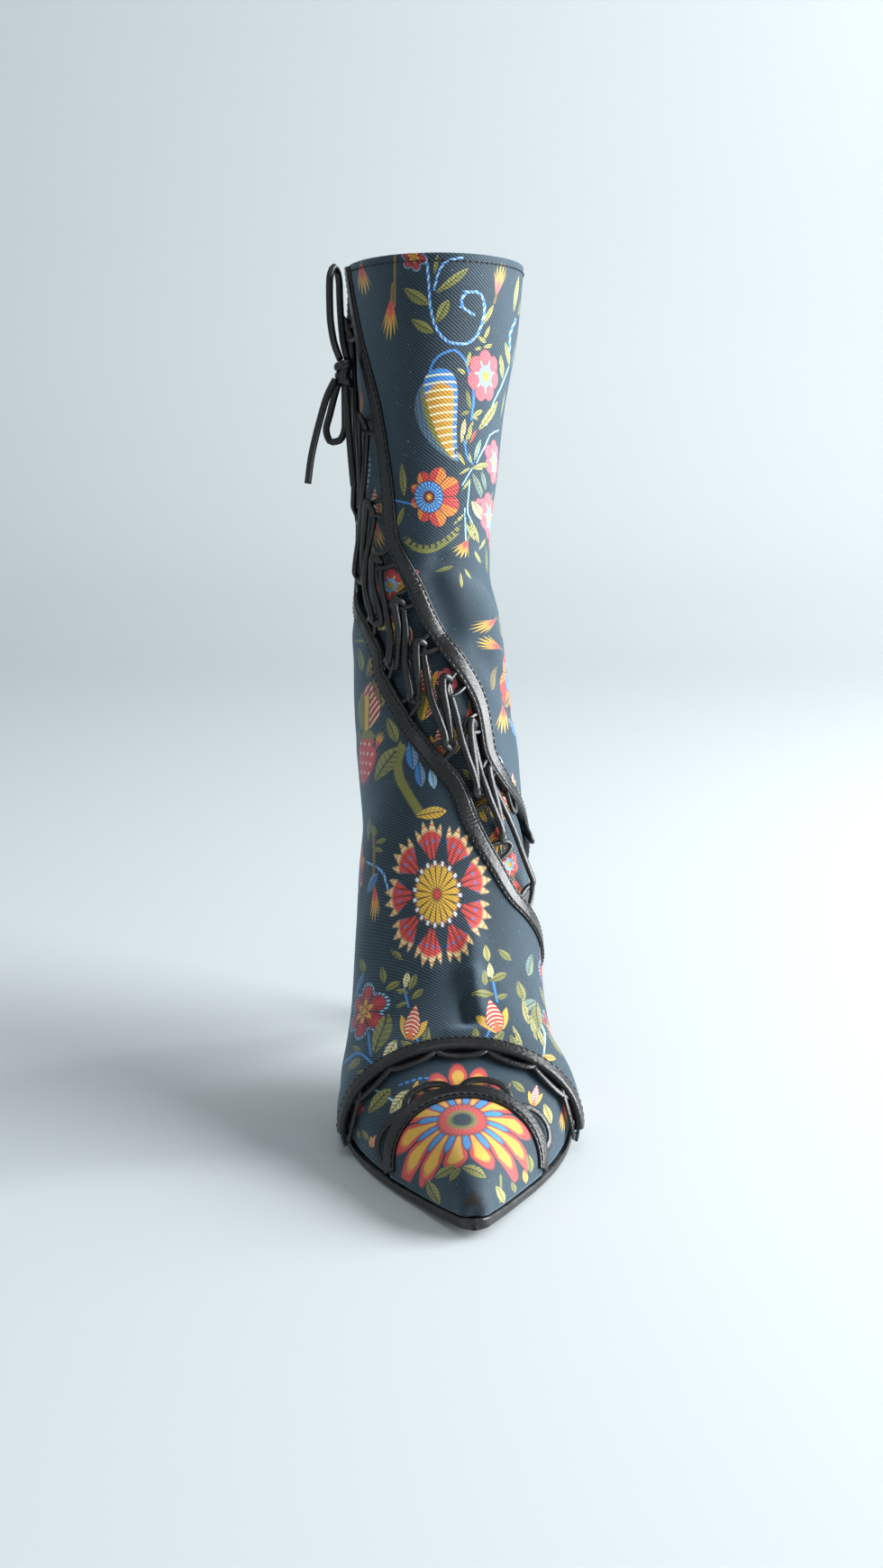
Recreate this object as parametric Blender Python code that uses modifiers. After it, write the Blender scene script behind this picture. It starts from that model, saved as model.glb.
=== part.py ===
"""Lace-up boot with a pointed toe, a spiral lacing gap and a slim heel.

One right boot in metres, standing on the floor at z = 0, toe towards -Y, +Z up.
The upper follows a last: a row of sections that fan from upright at the toe to level on the leg.
A place on the last is (u, t): u counts sections from the toe tip, t runs from the outer edge
over the top to the inner edge, -1 to 1, and on the leg from the back seam round to the back seam.
"""

import math
from collections import namedtuple

import bmesh
import bpy
import numpy as np

MM = 0.001
CLEAR = 0.3
# The last's place that lies over the frame's origin
FRAME_ORIGIN = np.array([0.0, 0.85, 0.0])

# Wall, steps and trim, in millimetres
WALL = 1.6
TOE_CAP_STEP = 1.0
LEG_STEP = 1.2
FLARE_TOP = 2.4
FLARE_SIDE = 3.2
FLARE_SECTIONS = 1.6
STEP_RUN = 0.012
EDGE_LEVEL = 0.13
EDGE_RAISE = 0.008
INWARD = -1.0
OUTWARD = 1.0
MIDDLE = 0.0

SOLE_THICKNESS = 3.7
SOLE_MARGIN_TOE = 2.2
SOLE_MARGIN_SEAT = 0.6
INSOLE_THICKNESS = 2.0
INSOLE_INSET = 2.6
SEAT_CLEAR = 0.8

GUSSET_THICKNESS = 1.2
GUSSET_OVERLAP = 0.32

BAND_WIDTH = 5.4
BAND_THICKNESS = 1.3
BAND_CLEAR = 0.75
BAND_END = 0.965
LIP_DEPTH = 1.9
LIP_THICKNESS = 1.3
LIP_CLEAR = 0.75

LOOP_RADIUS = 0.95
LOOP_LENGTH = 9.0
LOOP_SPREAD = 2.3
LOOP_ROOT = 0.6
LOOP_LIFT = 0.75
TRIM_LOOP_LENGTH = 7.0
TRIM_LOOP_SPREAD = 7.3
TRIM_LOOP_LIFT = 2.8
# A loop's centre line, as shares of its spread and its length
LOOP_SHAPE = ((-1.0, 0.0), (-0.9, 0.65), (0.0, 1.0), (0.9, 0.65), (1.0, 0.0))

LACE_RADIUS = 1.4
LACE_PAIRS = 11
LACE_TURN = 0.14
LACE_DOWN = (0.25, 0.5, 0.75)
LACE_UP = (0.5,)

# Rows of the section table that other pieces refer to
TOE_BAND_AT = 4
VAMP_BAND_AT = 6
BALL_AT = 8
SEAT_AT = 13
COLLAR_AT = 25

Section = namedtuple(
    "Section", "place top_y top_z edge_y edge_z half_width edge_half_width squareness centre_x"
)

# One row for each section of the last: its top or front point, its sole edge or back point, its
# half width, the half width at the sole edge (below zero where the section is closed) and its centre
SECTIONS = (
    Section("toe tip", -112.0, 7.4, -112.0, 7.4, 0.0, 0.0, 1.0, 0.0),
    Section("toe nose", -110.6, 12.2, -110.9, 7.2, 3.0, 2.9, 1.0, 0.0),
    Section("toe point", -104.5, 17.0, -106.0, 6.5, 6.3, 6.1, 1.0, 0.0),
    Section("toe box", -88.0, 22.0, -94.0, 5.2, 13.4, 13.0, 0.95, 0.0),
    Section("toe band", -61.0, 28.5, -74.5, 4.3, 25.2, 24.4, 0.95, 0.0),
    Section("vamp", -51.0, 32.5, -59.0, 4.0, 32.8, 31.8, 0.95, 0.0),
    Section("vamp band", -41.5, 37.5, -43.5, 4.0, 38.2, 37.0, 1.0, 0.0),
    Section("tread", -31.0, 46.5, -25.0, 4.0, 41.0, 40.2, 1.0, 0.0),
    Section("ball", -19.0, 59.0, -7.0, 6.5, 38.6, 37.9, 1.0, -2.0),
    Section("waist", -7.0, 75.0, 12.0, 19.0, 35.4, 33.5, 1.0, -1.7),
    Section("low instep", 3.0, 93.0, 32.0, 38.0, 34.0, 29.5, 1.0, -1.3),
    Section("instep", 11.0, 113.0, 53.0, 61.0, 32.5, 27.0, 1.0, -1.2),
    Section("heel breast", 16.5, 130.0, 72.0, 81.5, 30.4, 26.5, 1.0, -1.5),
    Section("heel seat", 20.0, 145.0, 91.0, 94.5, 30.7, 25.5, 1.0, -2.4),
    Section("heel turn", 22.0, 155.0, 104.5, 98.5, 30.7, 18.5, 1.0, -3.3),
    Section("heel curve", 23.0, 162.0, 111.0, 100.0, 30.3, 9.5, 1.0, -3.9),
    Section("heel back", 23.6, 168.0, 113.0, 101.5, 30.0, 0.0, 1.0, -4.5),
    Section("counter", 24.0, 175.0, 114.5, 116.0, 29.6, -9.0, 1.0, -5.3),
    Section("counter top", 23.8, 182.0, 112.0, 140.0, 28.6, -9.0, 1.0, -6.2),
    Section("ankle low", 23.0, 190.0, 107.5, 165.0, 27.0, -9.0, 1.0, -7.2),
    Section("ankle", 22.0, 200.0, 105.0, 188.0, 24.5, -9.0, 1.0, -8.3),
    Section("leg low", 20.0, 212.0, 104.0, 208.0, 24.35, -9.0, 1.0, -7.9),
    Section("leg", 16.0, 232.0, 104.5, 231.0, 25.75, -9.0, 1.0, -6.85),
    Section("calf", 11.5, 255.0, 106.0, 255.0, 27.5, -9.0, 1.0, -6.3),
    Section("calf top", 7.0, 281.0, 108.0, 281.0, 30.2, -9.0, 1.0, -4.9),
    Section("collar", 3.5, 308.0, 110.0, 308.0, 31.9, -9.0, 1.0, -4.4),
)

GapStation = namedtuple("GapStation", "front_u front_t rear_u rear_t")

# One row for each station down the lacing gap: where its front and its rear edge lie on the last
LACING_GAP = (
    GapStation(25.0, -0.430, 25.0, -0.620),
    GapStation(24.0, -0.345, 24.0, -0.550),
    GapStation(23.0, -0.255, 23.0, -0.500),
    GapStation(22.0, -0.217, 22.0, -0.490),
    GapStation(21.0, -0.190, 20.7, -0.490),
    GapStation(20.3, -0.140, 19.5, -0.445),
    GapStation(19.2, -0.075, 18.3, -0.305),
    GapStation(17.6, -0.025, 16.8, -0.235),
    GapStation(16.0, 0.035, 14.8, -0.232),
    GapStation(14.5, 0.115, 13.2, -0.205),
    GapStation(13.2, 0.200, 12.2, -0.095),
    GapStation(12.3, 0.235, 11.4, 0.060),
    GapStation(11.9, 0.320, 10.75, 0.125),
    GapStation(11.7, 0.440, 10.2, 0.240),
    GapStation(11.65, 0.600, 9.8, 0.400),
    GapStation(11.5, 0.780, 9.85, 0.660),
    GapStation(11.3, 0.990, 10.1, 0.970),
    GapStation(11.2, 1.090, 10.3, 1.090),
)
GAP_LAST = len(LACING_GAP) - 1
GAP_TOP_LOOP = 0.8
GAP_LOW_LOOP = 14.2
GAP_BAND_LOW = 15.65
GUSSET_TOP = 0.15
GUSSET_LOW = 15.85

HeelRing = namedtuple("HeelRing", "height follow centre_y half_length half_width")

# One row for each ring of the heel, from the tip up; follow is how much it takes the slope of the seat
HEEL_RINGS = (
    HeelRing(6.3, 0.0, 98.5, 6.6, 6.2),
    HeelRing(20.0, 0.0, 99.2, 7.4, 6.9),
    HeelRing(40.0, 0.0, 99.6, 9.0, 8.4),
    HeelRing(58.0, 0.0, 99.0, 11.6, 11.6),
    HeelRing(72.0, 0.45, 97.2, 14.6, 16.2),
    HeelRing(82.0, 0.85, 95.2, 17.2, 20.6),
)
HEEL_TOP = HeelRing(0.0, 1.0, 94.2, 18.2, 22.2)
HEEL_TIP_HEIGHT = 6.0
HEEL_SIDES = 18
HEEL_SQUARENESS = 0.85

TOE_LOOPS = (-0.72, -0.27, 0.16, 0.62)
VAMP_LOOPS = (-0.79, -0.53, -0.265, 0.0, 0.265, 0.53, 0.79)

KNOT_AT = 1.4
KNOT_SHARE = 0.75
KNOT_LIFT = 6.8
KNOT_RADII = (3.4, 3.0, 4.2)
KNOT_SIDES = 10
KNOT_RINGS = 6

TOE_CAP_START = 0.9
UPPER_COLUMNS = 27
UPPER_ROWS = (
    0.0, 1.0, 1.6, 2.3, 3.0, 3.5, TOE_BAND_AT - STEP_RUN, TOE_BAND_AT + STEP_RUN, 4.6, 5.3,
    VAMP_BAND_AT - STEP_RUN, VAMP_BAND_AT + STEP_RUN, 6.45, 7.0, 7.8, 8.5, 9.1, 9.7, 10.3, 11.0, 12.0,
    13.0, 14.0, 14.6, 15.3, 16.0, 17.0, 18.0, 19.0, 20.0, 21.0, 22.0, 23.0, 24.0, 25.0,
)
SOLE_COLUMNS = 5
SOLE_ROWS = (
    0.0, 0.4, 1.0, 1.6, 2.3, 3.0, 3.5, 4.0, 4.6, 5.3, 6.0, 6.5, 7.0, 7.4, 7.8, 8.3, 8.8, 9.4, 10.2,
    11.0, 11.5, 12.0, 12.5, 13.0, 13.5, 14.0, 14.4, 14.8, 15.2, 15.6, 16.0,
)
INSOLE_ROWS = SOLE_ROWS[4:-3]
GAP_STATIONS = np.linspace(0, GAP_LAST, 37)
CUTTER_ABOVE = 8.0
CUTTER_THICKNESS = 14.0
CUTTER_COLUMNS = 5
GUSSET_ROWS = 24
GUSSET_COLUMNS = 6
GUSSET_DROP = 0.2
BAND_COLUMNS = 23
NEAR = np.array([-0.02, 0.0, 0.02])
FRONT_TURN = -1.0
LOOP_STATIONS = np.linspace(GAP_TOP_LOOP, GAP_LOW_LOOP, LACE_PAIRS)
LACE_SHARE = 0.27
LACE_LIFT = LOOP_LIFT + LOOP_RADIUS + 2 * CLEAR + LACE_RADIUS
HEEL_CENTRE_X = -3.0
HEEL_TOP_SCALES = (1.0, 0.66, 0.33)

# The bow's cords, as points in millimetres from the middle of the knot
CORD_RADIUS = 1.3
BOW_ROUTES = {
    "bow_loop_up": (
        (-1.5, 0.0, 4.45), (-3.8, -1.6, 11.0), (-5.0, -2.8, 20.0), (-5.0, -3.2, 29.0),
        (-4.6, -2.7, 34.0), (-3.3, -1.0, 37.2), (-2.0, 0.8, 34.4), (-1.5, 1.5, 29.0), (-1.2, 1.4, 20.0),
        (-0.4, 0.8, 11.0), (1.2, 0.2, 4.5),
    ),
    "bow_loop_down": (
        (-2.2, 2.2, -3.2), (-4.0, 3.4, -9.0), (-5.6, 3.8, -15.0), (-7.0, 3.6, -20.5), (-5.2, 3.2, -25.0),
        (-2.0, 2.8, -24.3), (0.0, 2.5, -19.0), (0.0, 2.3, -12.0), (0.0, 2.3, -3.9),
    ),
    "lace_end_front": (
        (-3.4, -1.2, -2.6), (-6.2, -2.2, -8.0), (-9.4, -2.8, -18.0), (-12.6, -2.8, -31.0),
        (-13.9, -2.6, -40.0),
    ),
    "lace_end_rear": (
        (0.3, -1.2, -4.5), (0.9, -1.6, -13.0), (1.5, -1.6, -22.0), (2.3, -1.4, -33.0), (3.0, -1.2, -41.0),
    ),
}


def clear_scene():
    for item in list(bpy.data.objects):
        bpy.data.objects.remove(item, do_unlink=True)


def plain_material(name, colour, roughness):
    made = bpy.data.materials.new(name)
    made.use_nodes = True
    shader = made.node_tree.nodes["Principled BSDF"]
    shader.inputs["Base Color"].default_value = (*colour, 1.0)
    shader.inputs["Roughness"].default_value = roughness
    return made


def smooth(values, u):
    """Values at places u along the rows, on a curve through the rows that keeps flat runs flat."""
    values = np.asarray(values, float)
    steps = np.diff(values)
    before, after = steps[:-1], steps[1:]
    same = before * after > 0
    middle = np.where(same, 2 * before * after / np.where(same, before + after, 1.0), 0.0)
    slopes = np.concatenate([steps[:1], middle, steps[-1:]])
    u = np.clip(np.asarray(u, float), 0, len(values) - 1)
    row = np.minimum(u.astype(int), len(values) - 2)
    f = u - row
    return (
        (2 * f**3 - 3 * f**2 + 1) * values[row]
        + (f**3 - 2 * f**2 + f) * slopes[row]
        + (3 * f**2 - 2 * f**3) * values[row + 1]
        + (f**3 - f**2) * slopes[row + 1]
    )


def along(column, u):
    return smooth([getattr(row, column) for row in SECTIONS], u)


def last_point(u, t):
    """The place (u, t) on the last: each section is an ellipse cut off at the sole edge."""
    u, t = np.broadcast_arrays(np.asarray(u, float), np.asarray(t, float))
    width = along("half_width", u)
    edge = np.clip(along("edge_half_width", u), 0, None)
    square = along("squareness", u)
    share = np.clip(edge / np.maximum(width, 1e-6), 0, 1) ** (1 / square)
    reach = np.pi - np.arcsin(share)
    angle = t * reach
    side = np.sin(angle)
    x = along("centre_x", u) + width * np.sign(side) * np.abs(side) ** square
    rise = (np.cos(angle) - np.cos(reach)) / (1 - np.cos(reach))
    y = along("edge_y", u) * (1 - rise) + along("top_y", u) * rise
    z = along("edge_z", u) * (1 - rise) + along("top_z", u) * rise
    return np.stack([x, y, z], axis=-1)


def tangents(u, t):
    """The last's directions along u and along t, by a small difference."""
    small = 2e-3
    u = np.clip(np.asarray(u, float), 0.06, COLLAR_AT - small)
    along_u = (last_point(u + small, t) - last_point(u - small, t)) / (2 * small)
    along_t = (last_point(u, t + small) - last_point(u, t - small)) / (2 * small)
    return along_u, along_t


def unit(vectors):
    return vectors / np.maximum(np.linalg.norm(vectors, axis=-1, keepdims=True), 1e-12)


def outward(u, t):
    along_u, along_t = tangents(u, t)
    return unit(np.cross(along_t, along_u))


def openness(u):
    """How wide a section stands open underneath: its width at the sole edge over its full width."""
    width = np.maximum(along("half_width", u), 1e-6)
    return np.clip(along("edge_half_width", u) / width, 0, 1)


def lifted(u, t, lift):
    """The place (u, t) moved out from the last by lift millimetres, level at the sole edge."""
    level = 1 - EDGE_LEVEL * openness(u)
    return last_point(u, t) + outward(u, t * level) * np.asarray(lift, float)[..., None]


def flare(u, t):
    """How far the front hem of the leg stands off the vamp, easing out behind it."""
    back = np.clip((u - VAMP_BAND_AT) / FLARE_SECTIONS, 0, 1)
    ease = (1 - back) ** 2 * (1 + 2 * back)
    return (FLARE_TOP + (FLARE_SIDE - FLARE_TOP) * np.abs(t) ** 3) * ease


def to_frame(points):
    """Millimetres on the last to metres in the part's frame."""
    return (np.asarray(points) - FRAME_ORIGIN) * MM


def mesh_object(name, points, faces, material, folder):
    mesh = bpy.data.meshes.new(name)
    mesh.from_pydata([tuple(p) for p in to_frame(points)], [], faces)
    made = bpy.data.objects.new(name, mesh)
    mesh.materials.append(material)
    folder.objects.link(made)
    return made


def tidy(made):
    """Merge points that fall together and turn the faces one way."""
    work = bmesh.new()
    work.from_mesh(made.data)
    bmesh.ops.remove_doubles(work, verts=work.verts, dist=0.00001)
    bmesh.ops.dissolve_degenerate(work, edges=work.edges, dist=0.000005)
    bmesh.ops.recalc_face_normals(work, faces=work.faces)
    work.to_mesh(made.data)
    work.free()


def sheet(name, grid, material, folder):
    """An open surface from a grid of points, rows by columns."""
    rows, columns = grid.shape[:2]
    faces = [
        (i * columns + j, i * columns + j + 1, (i + 1) * columns + j + 1, (i + 1) * columns + j)
        for i in range(rows - 1)
        for j in range(columns - 1)
    ]
    made = mesh_object(name, grid.reshape(-1, 3), faces, material, folder)
    tidy(made)
    return made


def thicken(made, thickness, outside, offset):
    """Give an open sheet a wall; outside is a direction that its first face should look along."""
    if made.data.polygons[0].normal.dot(outside) < 0:
        made.data.flip_normals()
    wall = made.modifiers.new("Wall", "SOLIDIFY")
    wall.thickness = thickness * MM
    wall.offset = offset


def loft(name, rings, material, folder):
    """A closed solid through rings of the same number of points, its two ends filled."""
    count, sides = len(rings), len(rings[0])
    faces = [
        (low + i, low + (i + 1) % sides, low + sides + (i + 1) % sides, low + sides + i)
        for low in range(0, (count - 1) * sides, sides)
        for i in range(sides)
    ]
    faces.append(tuple(range(sides)))
    faces.append(tuple((count - 1) * sides + i for i in range(sides)))
    made = mesh_object(name, np.concatenate(rings), faces, material, folder)
    tidy(made)
    return made


def tube(name, points, radius, material, folder):
    """A round cord along points, made a mesh with closed ends."""
    curve = bpy.data.curves.new(name, "CURVE")
    curve.dimensions = "3D"
    curve.bevel_depth = radius * MM
    curve.bevel_resolution = 1
    curve.use_fill_caps = True
    spline = curve.splines.new("POLY")
    spline.points.add(len(points) - 1)
    for place, point in zip(spline.points, to_frame(points)):
        place.co = (*point, 1.0)
    drawn = bpy.data.objects.new(name + "_path", curve)
    folder.objects.link(drawn)
    bpy.context.view_layer.update()
    mesh = bpy.data.meshes.new_from_object(drawn.evaluated_get(bpy.context.evaluated_depsgraph_get()))
    bpy.data.objects.remove(drawn, do_unlink=True)
    made = bpy.data.objects.new(name, mesh)
    mesh.materials.clear()
    mesh.materials.append(material)
    folder.objects.link(made)
    tidy(made)
    return made


def combine(made, other, operation, cutters):
    """A Boolean with a named second body, which is kept with the cutters."""
    for folder in list(other.users_collection):
        folder.objects.unlink(other)
    cutters.objects.link(other)
    other.hide_render = True
    other.display_type = "WIRE"
    change = made.modifiers.new(other.name, "BOOLEAN")
    change.operation = operation
    change.solver = "EXACT"
    change.object = other


def sole_line(inset_toe, inset_seat, rise_toe, rise_seat, rows):
    """The sole's outline moved in and up, as centre, half width, y and z for each row."""
    width = np.clip(along("edge_half_width", rows), 0, None)
    y = along("edge_y", rows)
    z = along("edge_z", rows)
    step_w, step_y = np.gradient(width), np.gradient(y)
    step_y[0] = 0.0
    step_y[-1] = 0.0
    length = np.hypot(step_w, step_y)
    ball, seat = SECTIONS[BALL_AT].edge_y, SECTIONS[SEAT_AT].edge_y
    share = np.clip((y - ball) / (seat - ball), 0, 1)
    inset = inset_toe + (inset_seat - inset_toe) * share
    moved_w = width - inset * step_y / length
    moved_y = y + inset * step_w / length
    moved_z = z + rise_toe + (rise_seat - rise_toe) * share
    return along("centre_x", rows), np.maximum(moved_w, 0), moved_y, moved_z


def sole_sheet(name, line, columns, material, folder):
    centre, width, y, z = line
    across = np.linspace(-1, 1, columns)
    grid = np.stack(
        [
            centre[:, None] + width[:, None] * across,
            np.repeat(y[:, None], columns, axis=1),
            np.repeat(z[:, None], columns, axis=1),
        ],
        axis=-1,
    )
    return sheet(name, grid, material, folder)


def gap_edge(side, stations):
    return (
        smooth([getattr(row, side + "_u") for row in LACING_GAP], stations),
        smooth([getattr(row, side + "_t") for row in LACING_GAP], stations),
    )


def across_gap(stations, share):
    """Places across the gap: share 0 is its rear edge and 1 its front edge."""
    front_u, front_t = gap_edge("front", stations)
    rear_u, rear_t = gap_edge("rear", stations)
    return rear_u + (front_u - rear_u) * share, rear_t + (front_t - rear_t) * share


def sideways(u, t):
    """The direction on the last at right angles to a line of places."""
    ahead = unit(np.gradient(last_point(u, t), axis=0))
    return unit(np.cross(outward(u, t), ahead))


def beside(u, t, way, amount):
    """The places that lie amount millimetres from (u, t) on the last, along a direction on it."""
    along_u, along_t = tangents(u, t)
    a = np.sum(along_u * along_u, axis=-1)
    b = np.sum(along_u * along_t, axis=-1)
    c = np.sum(along_t * along_t, axis=-1)
    p = np.sum(along_u * way, axis=-1)
    q = np.sum(along_t * way, axis=-1)
    area = a * c - b * b
    move_u = (c * p - b * q) / area
    move_t = (a * q - b * p) / area
    return np.clip(u + move_u * amount, 0, COLLAR_AT), t + move_t * amount


def loop_path(u, t, away, length, spread, lifts):
    """A loop's centre line on the last: out from the binding at (u, t), round, and back into it."""
    low, high = lifts
    shape = np.array(LOOP_SHAPE)
    out = outward(u, t)
    ahead = np.cross(away, out)
    move = ahead * spread * shape[:, :1] + away * (LIP_CLEAR + LOOP_ROOT + length * shape[:, 1:])
    rows = np.full(len(shape), u)
    columns = np.full(len(shape), t)
    return lifted(*beside(rows, columns, move, 1.0), low + (high - low) * shape[:, 1])


def facing(name, side, turn, material, folder, cutters):
    """A leather binding folded over one edge of the lacing gap, with its lace loops."""
    u, t = gap_edge(side, GAP_STATIONS[GAP_STATIONS < GAP_BAND_LOW])
    into = sideways(u, t) * turn
    low = LEG_STEP + BAND_CLEAR
    high = low + BAND_THICKNESS
    lip = LIP_CLEAR + LIP_THICKNESS
    profile = (
        (-BAND_WIDTH, low),
        (-BAND_WIDTH, high),
        (lip, high),
        (lip, low - LIP_DEPTH),
        (LIP_CLEAR, low - LIP_DEPTH),
        (LIP_CLEAR, low),
    )
    corners = []
    for amount, lift in profile:
        beside_u, beside_t = beside(u, t, into, amount)
        corners.append(lifted(beside_u, beside_t, np.full(u.shape, lift)))
    made = loft(name, np.stack(corners, axis=1), material, folder)
    for number, place in enumerate(LOOP_STATIONS):
        u, t = gap_edge(side, place + NEAR)
        away = sideways(u, t)[1] * turn
        path = loop_path(u[1], t[1], away, LOOP_LENGTH, LOOP_SPREAD, (LOOP_LIFT, LOOP_LIFT))
        loop = tube(f"{name}_loop_{number + 1}", path, LOOP_RADIUS, material, folder)
        combine(made, loop, "UNION", cutters)
    return made


def upper_lift(u, t):
    """How far the outside of the upper stands off the last: toe cap, bare vamp, leg with its flare."""
    start = np.clip(u / TOE_CAP_START, 0, 1)
    cap = TOE_CAP_STEP * start * start * (3 - 2 * start)
    return np.where(u < TOE_BAND_AT, cap, np.where(u < VAMP_BAND_AT, 0.0, LEG_STEP + flare(u, t)))


def cross_band(name, section, turn, loops, material, folder, cutters):
    """A leather binding across the foot, folded over the edge of an overlay, with its loops."""
    across = np.linspace(-BAND_END, BAND_END, BAND_COLUMNS)
    edge_u = np.full(across.shape, section - turn * STEP_RUN)
    into = unit(tangents(edge_u, across)[0]) * turn
    rise = upper_lift(edge_u, across) + CLEAR
    lip = LIP_CLEAR + LIP_THICKNESS
    bottom = np.maximum(rise - LIP_DEPTH, CLEAR)

    def flange(amount, extra):
        u, t = beside(edge_u, across, into, amount)
        return lifted(u, t, upper_lift(u, t) + CLEAR + extra)

    def edge(amount, lift):
        u, t = beside(edge_u, across, into, amount)
        return lifted(u, t, lift)

    corners = (
        flange(-BAND_WIDTH, 0.0),
        flange(-BAND_WIDTH, BAND_THICKNESS),
        flange(-BAND_WIDTH / 2, BAND_THICKNESS),
        edge(lip, rise + BAND_THICKNESS),
        edge(lip, bottom),
        edge(LIP_CLEAR, bottom),
        edge(LIP_CLEAR, rise),
        flange(-BAND_WIDTH / 2, 0.0),
    )
    made = loft(name, np.stack(corners, axis=1), material, folder)
    for number, place in enumerate(loops):
        u = section - turn * STEP_RUN
        away = unit(tangents(u, place)[0]) * turn
        low = max(float(upper_lift(u, place)), TRIM_LOOP_LIFT) - LOOP_ROOT
        path = loop_path(u, place, away, TRIM_LOOP_LENGTH, TRIM_LOOP_SPREAD, (low, TRIM_LOOP_LIFT))
        loop = tube(f"{name}_loop_{number + 1}", path, LOOP_RADIUS, material, folder)
        combine(made, loop, "UNION", cutters)
    return made


def build_upper(material, folder, cutters):
    """The hollow upper with its overlays as steps in the wall, cut open along the lacing gap."""
    u = np.array(UPPER_ROWS)[:, None]
    t = np.linspace(-1, 1, UPPER_COLUMNS)[None, :] * (1 - EDGE_RAISE * openness(u))
    made = sheet("upper", lifted(u, t, upper_lift(u, t)), material, folder)
    thicken(made, WALL, (0.0, -1.0, 0.0), INWARD)
    grid = last_point(*across_gap(GAP_STATIONS[:, None], np.linspace(0, 1, CUTTER_COLUMNS)[None, :]))
    above = grid[:1] + np.array([0.0, 0.0, CUTTER_ABOVE])
    cutter = sheet("lacing_gap", np.concatenate([above, grid]), material, folder)
    thicken(cutter, CUTTER_THICKNESS, (-1.0, 0.0, 0.0), MIDDLE)
    combine(made, cutter, "DIFFERENCE", cutters)
    return made


def build_gusset(material, folder):
    stations = np.linspace(GUSSET_TOP, GUSSET_LOW, GUSSET_ROWS)[:, None]
    share = np.linspace(-GUSSET_OVERLAP, 1 + GUSSET_OVERLAP, GUSSET_COLUMNS)[None, :]
    u, t = across_gap(stations, share)
    lift = LEG_STEP - WALL - CLEAR - GUSSET_DROP
    made = sheet("lacing_gusset", lifted(u, t, np.full(u.shape, lift)), material, folder)
    thicken(made, GUSSET_THICKNESS, (-1.0, 0.0, 0.0), INWARD)
    return made


def build_sole(sole_material, insole_material, folder):
    rows = np.array(SOLE_ROWS)
    line = sole_line(-SOLE_MARGIN_TOE, -SOLE_MARGIN_SEAT, -CLEAR, -SEAT_CLEAR, rows)
    outsole = sole_sheet("outsole", line, SOLE_COLUMNS, sole_material, folder)
    thicken(outsole, SOLE_THICKNESS, (0.0, 0.0, 1.0), INWARD)
    rows = np.array(INSOLE_ROWS)
    line = sole_line(INSOLE_INSET, INSOLE_INSET, CLEAR, CLEAR, rows)
    insole = sole_sheet("insole", line, SOLE_COLUMNS, insole_material, folder)
    thicken(insole, INSOLE_THICKNESS, (0.0, 0.0, 1.0), OUTWARD)


def seat_height(y):
    """The underside of the outsole along its middle, at lengthwise places y."""
    rows = np.array(SOLE_ROWS)
    line = sole_line(-SOLE_MARGIN_TOE, -SOLE_MARGIN_SEAT, -CLEAR, -SEAT_CLEAR, rows)
    along_y, along_z = np.gradient(line[2]), np.gradient(line[3])
    length = np.hypot(along_y, along_z)
    under_y = line[2] + SOLE_THICKNESS * along_z / length
    under_z = line[3] - SOLE_THICKNESS * along_y / length
    return np.interp(y, under_y, under_z)


def heel_ring(row, scale=1.0):
    angle = np.linspace(0, 2 * math.pi, HEEL_SIDES, endpoint=False)
    side, ahead = np.cos(angle), np.sin(angle)
    x = HEEL_CENTRE_X + scale * row.half_width * np.sign(side) * np.abs(side) ** HEEL_SQUARENESS
    y = row.centre_y + scale * row.half_length * np.sign(ahead) * np.abs(ahead) ** HEEL_SQUARENESS
    z = row.height + row.follow * (seat_height(y) - seat_height(row.centre_y))
    return np.stack([x, y, z], axis=-1)


def build_heel(material, tip_material, folder):
    rings = [heel_ring(row) for row in HEEL_RINGS]
    top = HEEL_TOP._replace(height=float(seat_height(HEEL_TOP.centre_y)) - CLEAR)
    rings += [heel_ring(top, scale) for scale in HEEL_TOP_SCALES]
    loft("heel", rings, material, folder)
    foot = heel_ring(HEEL_RINGS[0]) * np.array([1.0, 1.0, 0.0])
    loft("heel_tip", [foot, foot + np.array([0.0, 0.0, HEEL_TIP_HEIGHT])], tip_material, folder)


def lace_path():
    """The lace's zigzag: from each front loop to the rear loop two further down, then up to the next."""
    round_loop = np.array([2 * LACE_TURN, 0.0])
    route = [(LOOP_STATIONS[1] + LACE_TURN, LACE_SHARE)]
    for number in range(LACE_PAIRS - 2):
        front, rear = LOOP_STATIONS[number], LOOP_STATIONS[number + 2]
        last = np.array(route[-1])
        high = np.array([front - LACE_TURN, 1 - LACE_SHARE])
        low = np.array([rear - LACE_TURN, LACE_SHARE])
        route += [last + (high - last) * part for part in LACE_UP]
        route += [high, high + round_loop]
        top = route[-1]
        route += [top + (low - top) * part for part in LACE_DOWN]
        route += [low, low + round_loop]
    stations, share = np.array(route).T
    u, t = across_gap(stations, share)
    return lifted(u, t, np.full(u.shape, LACE_LIFT))


def build_lace(material, folder):
    tube("lace_crossings", lace_path(), LACE_RADIUS, material, folder)
    station = np.array([KNOT_AT])
    centre = lifted(*across_gap(station, KNOT_SHARE), np.array([KNOT_LIFT]))[0]
    work = bmesh.new()
    bmesh.ops.create_uvsphere(work, u_segments=KNOT_SIDES, v_segments=KNOT_RINGS, radius=1.0)
    bmesh.ops.scale(work, verts=work.verts, vec=np.array(KNOT_RADII) * MM)
    bmesh.ops.translate(work, verts=work.verts, vec=to_frame(centre))
    mesh = bpy.data.meshes.new("lace_knot")
    work.to_mesh(mesh)
    work.free()
    mesh.materials.append(material)
    folder.objects.link(bpy.data.objects.new("lace_knot", mesh))
    for name, route in BOW_ROUTES.items():
        tube(name, centre + np.array(route), CORD_RADIUS, material, folder)


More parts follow.
